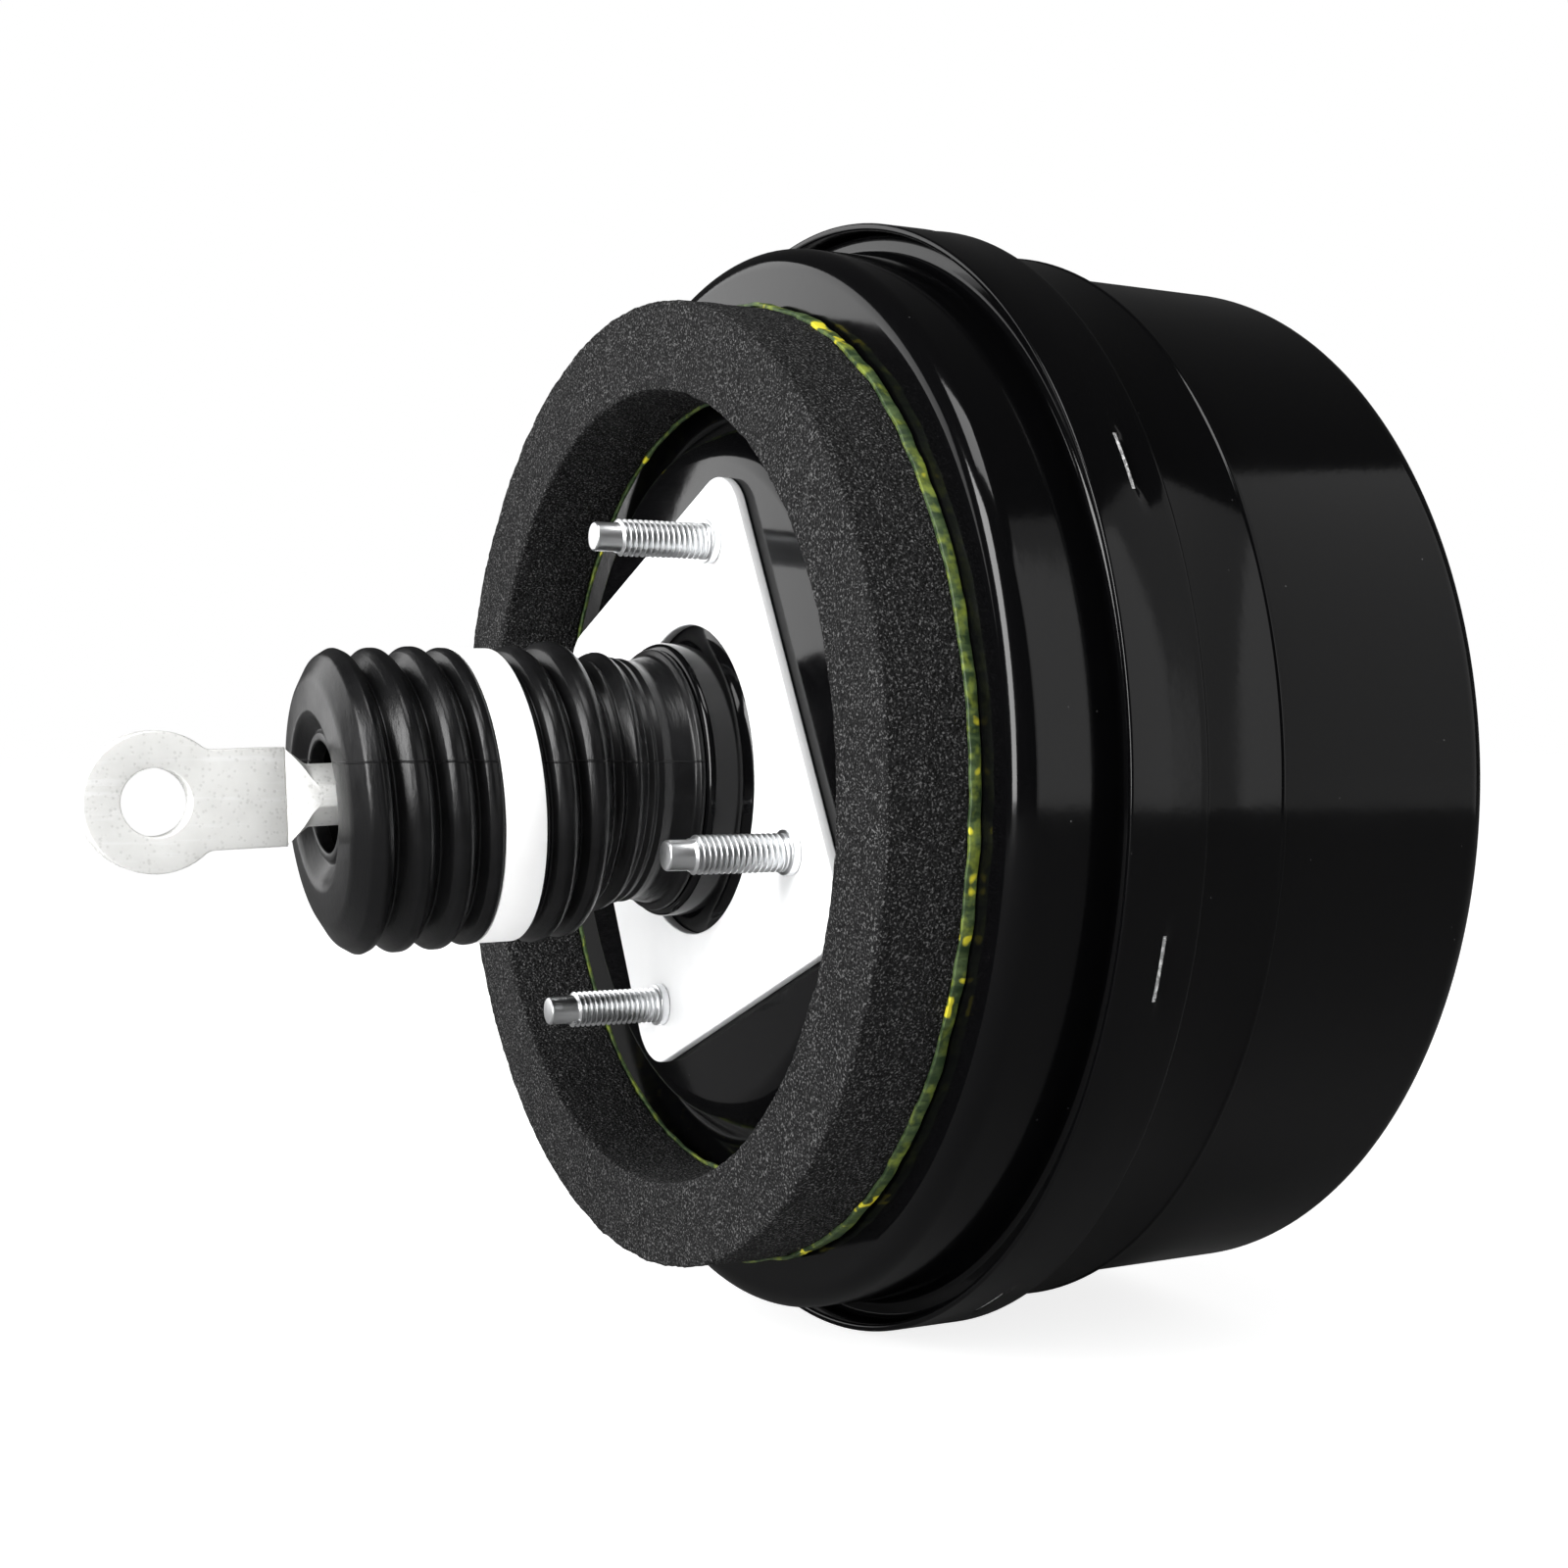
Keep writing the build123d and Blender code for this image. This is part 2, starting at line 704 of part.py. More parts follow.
with BuildPart() as input_rod:
    with BuildSketch(rod_profile):
        with BuildLine():
            Polyline(
                (0, 0),
                (rod_neck_radius, 0),
                (rod_neck_radius, 17),
                (rod_radius - 1, 19),
                (rod_radius - 1, (seat_at + 1.3)),
                (rod_radius, (seat_at + 1.3)),
                (rod_radius, (flat_at + 2)),
                (half_width, arm_at),
                (0, arm_at),
                close=True,
            )
        make_face()
    revolve(axis=rod_axis)
    with Locations(ball):
        Sphere(ball_radius)
    with BuildSketch(arm_outline) as arm:
        with Locations(((arm_at + eye_at) / 2, 0)):
            Rectangle(eye_at - arm_at, arm_width)
        with Locations((eye_at, 0)):
            Circle(eye_radius)
        meeting = eye_at - (eye_radius**2 - half_width**2) ** 0.5
        corners = [v for v in arm.vertices() if abs(v.X - meeting) < 0.1]
        fillet(corners, radius=5.0)
    extrude(amount=rod_radius, both=True)
    with BuildSketch(arm_side):
        with BuildLine():
            wide = 12.0
            slope_start = arm_at - (wide - arm_thickness / 2) / flat_slope
            Polyline(
                (-20, wide),
                (slope_start, wide),
                (arm_at, arm_thickness / 2),
                (eye_at + 20, arm_thickness / 2),
                (eye_at + 20, -arm_thickness / 2),
                (arm_at, -arm_thickness / 2),
                (slope_start, -wide),
                (-20, -wide),
                close=True,
            )
        make_face()
    extrude(amount=2 * wide, both=True, mode=Mode.INTERSECT)
    with BuildSketch(arm_outline):
        with Locations((eye_at, 0)):
            Circle(eye_bore_radius)
    extrude(amount=rod_radius, both=True, mode=Mode.SUBTRACT)
    rounds = input_rod.edges().filter_by(GeomType.CIRCLE)
    chamfer([e for e in rounds if abs(e.radius - eye_bore_radius) < 0.01], length=0.4)
save(input_rod, "input_rod")

# Washer on the rod and the spring that returns the rod and plunger
with BuildPart() as rod_spring_seat:
    with BuildSketch(rod_profile):
        with Locations(((rod_radius - 1 + seat_gap + 14) / 2, (seat_at + 0.6))):
            Rectangle(14 - rod_radius + 1 - seat_gap, 1.2)
    revolve(axis=rod_axis)
save(rod_spring_seat, "rod_spring_seat")
with BuildPart() as valve_return_spring:
    coil(13.0, 0.9, ball_place - seat_at + 0.6, flange_front - 1.8 - face_gap, 2.5)
save(valve_return_spring, "valve_return_spring")

# Air filter in the tail and the ring that keeps it there
with BuildPart() as air_filter:
    with BuildSketch(Plane.XY):
        ring(11.0, tail_bore_radius - seat_gap, tail_end + 4, tail_end + 16)
    revolve(axis=axle)
save(air_filter, "air_filter")
with BuildPart() as filter_retainer:
    with BuildSketch(Plane.XY):
        ring(15.5, tail_bore_radius - seat_gap, tail_end + 0.2, tail_end + 3.8)
        ring(11.5, tail_bore_radius - seat_gap, tail_end + 0.2, tail_end + 1.6)
    revolve(axis=axle)
save(filter_retainer, "filter_retainer")

# Dust boot: mouth on the neck's spigot, seven folds, a flat belt for the band, a rounded nose with
# a funnel round the rod, and inside it a sleeve on the end of the valve body's tail
belt_end = band_ring_start + band_ring_width
folds = [
    (boot_peak_radius - 4.8, belt_end + 16.5),
    (boot_peak_radius + 0.4, belt_end + 11.6),
    (boot_peak_radius - 2.7, belt_end + 8.2),
    (boot_peak_radius + 0.2, belt_end + 4.8),
    (boot_peak_radius - 2.5, belt_end + 1.6),
    (band_ring_radius - 0.9, belt_end + 0.1),
    (band_ring_radius - 0.9, band_ring_start - 0.1),
    (boot_peak_radius - 2.9, band_ring_start - 1.9),
    (boot_peak_radius, band_ring_start - 5.5),
    (boot_peak_radius - 3.0, band_ring_start - 9.2),
    (boot_peak_radius - 0.5, band_ring_start - 12.9),
    (boot_peak_radius - 3.3, band_ring_start - 16.8),
    (boot_peak_radius - 0.4, band_ring_start - 20.6),
    (boot_peak_radius - 3.0, band_ring_start - 23.7),
]
sleeve_bore = tail_radius + soft_gap
boot_bore = spigot_radius + seat_gap
boot_outside = [(26.5, -16.2), (27.1, -17.3), (26.7, -18.3), (27.3, -19.5), (27.0, -20.5), (28.6, -23.0)]
boot_nose = [
    (31.9, -78.6),
    (26.5, -82.8),
    (18.2, -85.9),
    (14.0, -82.6),
    (10.8, -82.6),
    (10.8, -81.0),
    (14.6, -81.0),
    (18.2, -84.0),
    (sleeve_bore, -83.2),
    (sleeve_bore, tail_end + 8),
    (sleeve_bore + boot_wall, tail_end + 8),
    (sleeve_bore + boot_wall, -82.7),
    (25.9, -81.3),
    (30.2, -78.0),
]
boot_inside = [(r - boot_wall, y) for r, y in reversed(folds)]
boot_foot = [(27.0, -23.2), (boot_bore, -22.2), (boot_bore, -16.2)]
with BuildPart() as dust_boot:
    with BuildSketch(Plane.XY):
        with BuildLine():
            Polyline(*boot_outside, *folds, *boot_nose, *boot_inside, *boot_foot, close=True)
        make_face()
        crests = [v for v in vertices() if boot_nose[0][1] < v.Y < -22.5 and v.X > 24]
        fillet(crests, radius=0.9)
    revolve(axis=axle)
save(dust_boot, "dust_boot")

# Band lying in the belt of the boot
with BuildPart() as boot_band:
    with BuildSketch(Plane.XY):
        ring(band_ring_radius - 0.6, band_ring_radius, band_ring_start, band_ring_start + band_ring_width)
    revolve(axis=axle)
save(boot_band, "boot_band")

# Check valve: grommet in the front face, housing with its hose nipple, disc and spring
valve_axis = Axis((check_valve_x, 0, check_valve_z), (0, 1, 0))
valve_profile = Plane(origin=(check_valve_x, 0, check_valve_z), x_dir=(1, 0, 0), z_dir=(0, 0, 1))
grommet_bore = 8.1
with BuildPart() as check_valve_grommet:
    with BuildSketch(valve_profile):
        with BuildLine():
            Polyline(
                (grommet_bore, front_face + 2.4),
                (13.0, front_face + 2.4),
                (13.0, front_face + face_gap),
                (check_valve_bore - seat_gap, front_face + face_gap),
                (check_valve_bore - seat_gap, front_face - shell_wall - face_gap),
                (12.6, front_face - shell_wall - face_gap),
                (11.0, front_face - shell_wall - 3.0),
                (grommet_bore, front_face - shell_wall - 3.0),
                close=True,
            )
        make_face()
    revolve(axis=valve_axis)
save(check_valve_grommet, "check_valve_grommet")
valve_seat = front_face - 5.5
spring_top = front_face + 8.0
nipple_end = front_face + nipple_length
with BuildPart() as check_valve_housing:
    with BuildSketch(valve_profile):
        with BuildLine():
            Polyline(
                (4.2, valve_seat - 1.5),
                (8.0, valve_seat - 1.5),
                (8.0, front_face + 2.5),
                (12.0, front_face + 2.5),
                (12.0, front_face + 5.3),
                (8.4, front_face + 5.3),
                (8.4, front_face + 10.0),
                (nipple_radius, front_face + 11.5),
                (nipple_radius, nipple_end - 0.6),
                (nipple_radius - 0.4, nipple_end),
                (nipple_radius - 1.8, nipple_end),
                (nipple_radius - 1.8, spring_top),
                (6.6, spring_top),
                (6.6, valve_seat),
                (4.2, valve_seat),
                close=True,
            )
        make_face()
    revolve(axis=valve_axis)
save(check_valve_housing, "check_valve_housing")
with BuildPart() as check_valve_disc:
    with BuildSketch(valve_profile):
        with Locations((2.9, valve_seat + 0.8)):
            Rectangle(5.8, 1.4)
    revolve(axis=valve_axis)
save(check_valve_disc, "check_valve_disc")
with BuildPart() as check_valve_spring:
    coil(4.8, 0.45, valve_seat + 1.6, spring_top - face_gap, 5, (check_valve_x, check_valve_z))
save(check_valve_spring, "check_valve_spring")
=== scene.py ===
import json
from math import atan2, cos, degrees, hypot, pi, radians, sin, tan

import bmesh
import bpy
from mathutils import Matrix, Vector, noise


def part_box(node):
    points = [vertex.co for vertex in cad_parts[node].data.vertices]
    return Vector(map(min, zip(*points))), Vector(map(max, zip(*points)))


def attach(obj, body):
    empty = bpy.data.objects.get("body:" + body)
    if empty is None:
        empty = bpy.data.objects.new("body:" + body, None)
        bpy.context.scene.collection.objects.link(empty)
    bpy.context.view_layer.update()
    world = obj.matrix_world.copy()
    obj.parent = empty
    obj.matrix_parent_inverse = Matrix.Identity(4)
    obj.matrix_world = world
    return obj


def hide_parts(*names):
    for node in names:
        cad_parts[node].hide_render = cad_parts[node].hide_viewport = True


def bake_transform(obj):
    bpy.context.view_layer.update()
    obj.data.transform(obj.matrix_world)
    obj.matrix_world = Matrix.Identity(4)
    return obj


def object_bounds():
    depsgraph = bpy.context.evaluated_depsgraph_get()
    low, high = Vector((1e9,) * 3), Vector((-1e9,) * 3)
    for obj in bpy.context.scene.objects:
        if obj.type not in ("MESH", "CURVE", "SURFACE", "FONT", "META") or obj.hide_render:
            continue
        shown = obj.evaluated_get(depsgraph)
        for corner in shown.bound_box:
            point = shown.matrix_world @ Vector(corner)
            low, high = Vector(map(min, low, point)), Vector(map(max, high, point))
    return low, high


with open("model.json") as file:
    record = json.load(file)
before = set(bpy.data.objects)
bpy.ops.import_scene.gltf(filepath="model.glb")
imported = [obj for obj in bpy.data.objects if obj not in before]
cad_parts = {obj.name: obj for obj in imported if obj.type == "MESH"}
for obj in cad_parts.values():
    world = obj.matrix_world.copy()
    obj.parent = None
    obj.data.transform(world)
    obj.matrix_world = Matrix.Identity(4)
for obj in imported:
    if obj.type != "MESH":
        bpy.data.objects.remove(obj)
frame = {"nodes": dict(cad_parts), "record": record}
cad_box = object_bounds()

bl_info = {
    "name": "Vacuum brake booster",
    "version": (1, 0, 0),
    "blender": (4, 5, 0),
    "location": "View3D > Sidebar > Booster",
    "description": "Dresses the packed brake booster with meshes, finishes and a studio",
    "category": "Object",
}

MM = 0.001
# Lanced tabs round the rim: count, angles in degrees, and places along the axis in millimetres.
TAB_COUNT = 8
TAB_FIRST = 29.5
TAB_HALF = 3.0
TAB_ROOT = 49.0
TAB_SHARE = 0.3
SLOT_START = 41.1
SLOT_END = 42.0
BAND_CUT = 42.6
FLANGE_CUT = 42.2
RIM_CORE = 119.0
BAND_CORE = 124.4
SLOT_DEPTH = 0.2
# Studs: angle of the first in degrees, pitch circle, and radii of the thread.
STUD_FIRST = 75.0
STUD_CIRCLE = 54.0
THREAD_ROOT = 3.3
THREAD_CREST = 4.0
FRONT_STUD_OFFSET = 41.0
# Shells, foam ring, hose nipple and pedal rod.
SHEET = 1.6
FOAM_BORE = 87.0
FOAM_OUTER = 105.5
FILM_BORE = 86.6
NIPPLE_PLACE = (-62.0, 62.0)
DROOP = radians(1.9)
BALL = Vector((0, -8, 0))
EYE_RADIUS = 14.4
EYE_BORE = 6.9


def start_of(node, axis=1):
    """Lowest place of a CAD node along an axis, in millimetres."""
    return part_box(node)[0][axis] / MM


def end_of(node, axis=1):
    """Highest place of a CAD node along an axis, in millimetres."""
    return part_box(node)[1][axis] / MM


class Size(bpy.types.PropertyGroup):
    """Sizes of the dressed pieces."""

    boot_droop: bpy.props.FloatProperty(
        name="Boot droop", description="How far the nose of the boot sags", default=0.003, unit="LENGTH"
    )
    thread_pitch: bpy.props.FloatProperty(
        name="Thread pitch", description="Pitch of the studs", default=0.00125, unit="LENGTH"
    )
    foam_edge: bpy.props.FloatProperty(
        name="Foam edge", description="Rounding of the cut foam edges", default=0.0012, unit="LENGTH"
    )
    tab_dip: bpy.props.FloatProperty(
        name="Tab dip", description="How far the lanced tabs are pressed in", default=0.0023, unit="LENGTH"
    )


class Colour(bpy.types.PropertyGroup):
    """Colours of the finishes."""

    paint: bpy.props.FloatVectorProperty(
        name="Paint", description="Gloss paint of the two shells", subtype="COLOR", default=(0.0015, 0.0015, 0.0017)
    )
    rubber: bpy.props.FloatVectorProperty(
        name="Rubber", description="Boot and seals", subtype="COLOR", default=(0.004, 0.004, 0.0043)
    )
    foam: bpy.props.FloatVectorProperty(
        name="Foam", description="Open cell foam ring", subtype="COLOR", default=(0.0095, 0.0095, 0.0098)
    )
    zinc: bpy.props.FloatVectorProperty(
        name="Zinc", description="Plate and studs", subtype="COLOR", default=(0.86, 0.87, 0.88)
    )
    forging: bpy.props.FloatVectorProperty(
        name="Forging", description="Plated pedal rod", subtype="COLOR", default=(0.86, 0.86, 0.84)
    )
    band: bpy.props.FloatVectorProperty(
        name="Band", description="White band on the boot", subtype="COLOR", default=(0.9, 0.9, 0.9)
    )
    film: bpy.props.FloatVectorProperty(
        name="Film", description="Green backing film of the foam", subtype="COLOR", default=(0.02, 0.04, 0.014)
    )


class Wire:
    """A shader socket that can be used in plain arithmetic."""

    def __init__(self, finish, socket):
        self.finish = finish
        self.socket = socket

    def maths(self, operation, first, second=None):
        """Add a Math node."""
        values = {0: first} if second is None else {0: first, 1: second}
        return self.finish.add("ShaderNodeMath", {"operation": operation}, values)["Value"]

    def __add__(self, other):
        return self.maths("ADD", self, other)

    def __radd__(self, other):
        return self.maths("ADD", other, self)

    def __sub__(self, other):
        return self.maths("SUBTRACT", self, other)

    def __rsub__(self, other):
        return self.maths("SUBTRACT", other, self)

    def __mul__(self, other):
        return self.maths("MULTIPLY", self, other)

    def __rmul__(self, other):
        return self.maths("MULTIPLY", other, self)


class Outputs:
    """The outputs of a node, by name."""

    def __init__(self, finish, node):
        self.finish = finish
        self.node = node

    def __getitem__(self, name):
        return Wire(self.finish, self.node.outputs[name])


class Finish:
    """A material with one Principled shader."""

    def __init__(self, name):
        self.material = bpy.data.materials.new(name)
        self.material.use_nodes = True
        self.tree = self.material.node_tree
        self.shader = self.tree.nodes["Principled BSDF"]
        self.surface = self.tree.nodes["Material Output"]
        self.place = self.add("ShaderNodeTexCoord", {}, {})["Object"]

    def add(self, kind, settings, values):
        """Add a node: its settings first, then the values or links of its sockets."""
        node = self.tree.nodes.new(kind)
        for key, value in settings.items():
            setattr(node, key, value)
        for key, value in values.items():
            self.put(node.inputs[key], value)
        return Outputs(self, node)

    def put(self, socket, value):
        """Set a socket, or link it."""
        if isinstance(value, Wire):
            self.tree.links.new(value.socket, socket)
        elif socket.type == "RGBA" and len(value) == 3:
            socket.default_value = (*value, 1)
        else:
            socket.default_value = value

    def noise(self, scale, detail=3.0, roughness=0.5, place=None):
        """Noise at a scale per metre."""
        values = {"Vector": place or self.place, "Scale": scale, "Detail": detail, "Roughness": roughness}
        return self.add("ShaderNodeTexNoise", {}, values)["Fac"]

    def cells(self, scale):
        """Distance in a cell pattern at a scale per metre."""
        return self.add("ShaderNodeTexVoronoi", {}, {"Vector": self.place, "Scale": scale})["Distance"]

    def stretched(self, scale):
        """Object coordinates stretched by a factor along each axis."""
        return self.add("ShaderNodeMapping", {}, {"Vector": self.place, "Scale": scale})["Vector"]

    def ramp(self, value, low, high):
        """Value mapped from low..high to 0..1 and held there."""
        values = {"Value": value, "From Min": low, "From Max": high}
        return self.add("ShaderNodeMapRange", {"clamp": True}, values)["Result"]

    def mix(self, factor, first, second):
        """Colour between two colours."""
        node = self.tree.nodes.new("ShaderNodeMix")
        node.data_type = "RGBA"
        self.put(node.inputs[0], factor)
        self.put(node.inputs[6], first)
        self.put(node.inputs[7], second)
        return Wire(self, node.outputs[2])

    def bump(self, height, depth, strength=1.0, below=None):
        """Bump of a depth in metres, on top of another."""
        values = {"Height": height, "Distance": depth, "Strength": strength}
        if below:
            values["Normal"] = below
        return self.add("ShaderNodeBump", {}, values)["Normal"]

    def set(self, **values):
        """Set the shader's sockets, named with underscores for spaces."""
        for key, value in values.items():
            self.put(self.shader.inputs[key.replace("_", " ")], value)
        return self.material


def enamel(colour):
    """Gloss black paint on drawn sheet: orange peel, faint draw marks, dust."""
    f = Finish("gloss_enamel")
    peel = f.noise(420, 2)
    draw = f.noise(9, 2)
    dust = f.ramp(f.cells(160), 0.035, 0.015) * f.ramp(f.noise(30, 2), 0.5, 0.62)
    smear = f.ramp(f.noise(26, 4, 0.6), 0.42, 0.7)
    return f.set(
        Base_Color=f.mix(dust * 0.5, colour, (0.2, 0.2, 0.2)),
        Roughness=0.09 + smear * 0.06 + dust * 0.4,
        Specular_IOR_Level=0.22,
        Normal=f.bump(draw, 0.0008, 0.3, f.bump(peel, 0.00002, 0.5)),
    )


def rubber(name, colour, sheen, seam=False):
    """Moulded rubber with fine flow marks and bloom, and the parting line of the boot's mould."""
    f = Finish(name)
    bloom = f.ramp(f.noise(60, 5, 0.62), 0.45, 0.75)
    flow = f.noise(90, 4, 0.6, f.stretched((1, 5, 1)))
    height = f.bump(flow, 0.0004, 0.4, f.bump(f.noise(1500, 2), 0.00003, 0.5))
    if seam:
        axes = f.add("ShaderNodeSeparateXYZ", {}, {"Vector": f.place})
        off = axes["Z"] + f.noise(60, 2) * 0.0022 - 0.0056
        line = f.ramp(off.maths("ABSOLUTE", off), 0.00025, 0.00005)
        height = f.bump(line, 0.0002, 0.9, height)
    return f.set(
        Base_Color=f.mix(bloom * 0.5, colour, (0.014, 0.014, 0.015)),
        Roughness=sheen + bloom * 0.1,
        Specular_IOR_Level=0.24,
        Normal=height,
    )


def foam(colour):
    """Open cell foam: paler cell walls, with painted shade darkening the pore holes and painted glints, bright
    specks standing in for highlights.
    """
    f = Finish("open_cell_foam")
    warp = f.noise(500, 2)
    # Painted shade: the shade that falls in the pore holes is painted into the colour as darker cells.
    pore_shade = f.ramp(f.cells(1150) + warp * 0.2, 0.75, 0.35)
    fine = f.ramp(f.cells(2400), 0.55, 0.1)
    # Painted glints: bright specks that stand in for highlights on the cell walls.
    glints = f.ramp(f.noise(2100, 2), 0.54, 0.7)
    # Pore depth for the bump, and painted shade for the colour.
    pore_shade_and_depth = pore_shade * 0.6 + fine * 0.4
    tone = f.mix(pore_shade_and_depth, colour, tuple(c * 0.22 for c in colour))
    tone = f.mix(glints, tone, (0.1, 0.1, 0.1))
    return f.set(
        Base_Color=tone,
        Roughness=0.9,
        Specular_IOR_Level=0.15,
        Normal=f.bump(1 - pore_shade_and_depth, 0.0005, 0.8, f.bump(f.noise(260, 3), 0.0006, 0.5)),
    )


def zinc(name, colour, metal=1.0, roughness=0.26):
    """Bright zinc plating with fine grain and soft stains."""
    f = Finish(name)
    stain = f.ramp(f.noise(40, 4, 0.6), 0.45, 0.75)
    grain = f.noise(900, 3, 0.6, f.stretched((1, 1, 4)))
    return f.set(
        Base_Color=f.mix(stain * 0.3, colour, tuple(c * 0.85 for c in colour)),
        Metallic=metal,
        Roughness=roughness + stain * 0.1 + grain * 0.08,
        Normal=f.bump(grain, 0.00002, 0.6),
    )


def forging(colour):
    """Plated forging with tumbling marks and scratches along it."""
    f = Finish("plated_forging")
    pits = f.ramp(f.cells(900) + f.noise(500, 2) * 0.3, 0.5, 0.28)
    scratch = f.ramp(f.noise(700, 3, 0.6, f.stretched((1, 0.06, 1))), 0.56, 0.66)
    cloud = f.noise(120, 5, 0.65)
    tone = f.mix(f.ramp(cloud, 0.35, 0.7) * 0.3, colour, (0.58, 0.58, 0.56))
    tone = f.mix(scratch * 0.4, tone, (0.95, 0.95, 0.95))
    tone = f.mix(pits * 0.3, tone, (0.42, 0.42, 0.4))
    return f.set(
        Base_Color=tone,
        Metallic=0.45,
        Roughness=0.34 + cloud * 0.2,
        Normal=f.bump(1 - pits, 0.00004, 0.7, f.bump(scratch, 0.00002, 0.5)),
    )


def raw_edge():
    """Torn bright steel in the lanced slots."""
    f = Finish("sheared_steel")
    tear = f.ramp(f.noise(900, 3, 0.6), 0.4, 0.6)
    return f.set(
        Base_Color=f.mix(tear, (0.35, 0.35, 0.35), (0.95, 0.95, 0.95)),
        Metallic=0.2,
        Roughness=0.4,
        Normal=f.bump(tear, 0.0004),
    )


def woven_band(colour):
    """White woven band with a soft matt face."""
    f = Finish("white_band")
    weave = f.noise(1400, 2, 0.5, f.stretched((1, 0.3, 1)))
    shade = f.noise(60, 3)
    return f.set(
        Base_Color=f.mix(shade * 0.3, colour, tuple(c * 0.86 for c in colour)),
        Roughness=0.7,
        Specular_IOR_Level=0.3,
        Normal=f.bump(weave, 0.00005, 0.6),
    )


def film(colour):
    """Green backing film with yellow streaks."""
    f = Finish("backing_film")
    blotch = f.ramp(f.noise(115, 2, 0.6), 0.63, 0.66)
    streak = f.ramp(f.noise(520, 3, 0.6, f.stretched((1, 0.35, 1))), 0.42, 0.68)
    lime = f.ramp(f.noise(210, 3, 0.6), 0.5, 0.66)
    tone = f.mix(streak * 0.7, colour, (0.1, 0.15, 0.05))
    tone = f.mix(lime * 0.7, tone, (0.22, 0.27, 0.03))
    tone = f.mix(blotch, tone, (0.62, 0.56, 0.03))
    return f.set(
        Base_Color=tone,
        Roughness=0.45 + streak * 0.2,
        Specular_IOR_Level=0.4,
        Normal=f.bump(streak, 0.0001, 0.6),
    )


def moulding(name, colour, roughness=0.45):
    """Plain moulded plastic with a fine texture."""
    f = Finish(name)
    shade = f.noise(90, 4)
    return f.set(
        Base_Color=f.mix(shade * 0.4, colour, tuple(c * 0.8 for c in colour)),
        Roughness=roughness + shade * 0.1,
        Normal=f.bump(f.noise(1500, 2), 0.00003, 0.5),
    )


def wire(name):
    """Oiled spring wire with fine drawing lines."""
    f = Finish(name)
    lines = f.noise(1500, 2, 0.5)
    return f.set(
        Base_Color=f.mix(lines, (0.3, 0.3, 0.31), (0.5, 0.5, 0.5)),
        Metallic=1.0,
        Roughness=0.3 + lines * 0.15,
        Normal=f.bump(lines, 0.00002, 0.5),
    )


def felt():
    """Pale filter felt."""
    f = Finish("filter_felt")
    fibre = f.noise(1800, 5, 0.7, f.stretched((1, 0.4, 1)))
    return f.set(
        Base_Color=f.mix(fibre, (0.5, 0.5, 0.46), (0.78, 0.78, 0.74)),
        Roughness=0.95,
        Normal=f.bump(fibre, 0.0003, 0.8),
    )


FINISHES = {}


def make_finishes(colours):
    """All finishes, by the material slot of the record that they stand for."""
    FINISHES.update(
        black_paint=enamel(colours.paint),
        zinc_bright=zinc("bright_zinc", colours.zinc),
        zinc_plate=zinc("plate_zinc", (0.88, 0.885, 0.89), 0.15, 0.42),
        forged_steel=forging(colours.forging),
        foam=foam(colours.foam),
        black_rubber=rubber("seal_rubber", colours.rubber, 0.45),
        boot_rubber=rubber("boot_rubber", colours.rubber, 0.28, True),
        band_white=woven_band(colours.band),
        liner_film=film(colours.film),
        phenolic=moulding("phenolic_moulding", (0.09, 0.05, 0.03)),
        pale_plastic=moulding("nylon_moulding", (0.7, 0.68, 0.6)),
        black_plastic=moulding("black_moulding", (0.012, 0.012, 0.012)),
        spring_steel=wire("spring_wire"),
        filter_felt=felt(),
        raw_edge=raw_edge(),
    )


def finished(name, bm, slots, body, nodes, crease=32.0):
    """Turn a bmesh into a shown piece that rides on a body and stands for CAD nodes."""
    bmesh.ops.remove_doubles(bm, verts=bm.verts[:], dist=2e-7)
    bmesh.ops.recalc_face_normals(bm, faces=bm.faces[:])
    mesh = bpy.data.meshes.new(name)
    bm.to_mesh(mesh)
    bm.free()
    mesh.shade_smooth()
    mesh.set_sharp_from_angle(angle=radians(crease))
    piece = bpy.data.objects.new(name, mesh)
    bpy.context.scene.collection.objects.link(piece)
    for slot in slots:
        mesh.materials.append(FINISHES[slot])
    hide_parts(*nodes)
    if body:
        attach(piece, body)
    return piece


def walled(points, wall):
    """Closed profile of a sheet: points are (radius, place, rounding) and the wall lies on their left."""
    inner = []
    for i, (r, y, rounding) in enumerate(points):
        before = points[max(i - 1, 0)]
        after = points[min(i + 1, len(points) - 1)]
        ins = Vector((r - before[0], y - before[1])) if i else Vector((after[0] - r, after[1] - y))
        out = Vector((after[0] - r, after[1] - y)) if i < len(points) - 1 else ins
        ins.normalize()
        out.normalize()
        left = Vector((-ins.y - out.y, ins.x + out.x)).normalized()
        reach = wall / max(left.dot(Vector((-ins.y, ins.x))), 0.3)
        turn = ins.x * out.y - ins.y * out.x
        change = -wall if turn > 0 else wall
        inner.append((r + left.x * reach, y + left.y * reach, max(rounding + change, 0.2) if rounding else 0))
    return list(points) + inner[::-1]


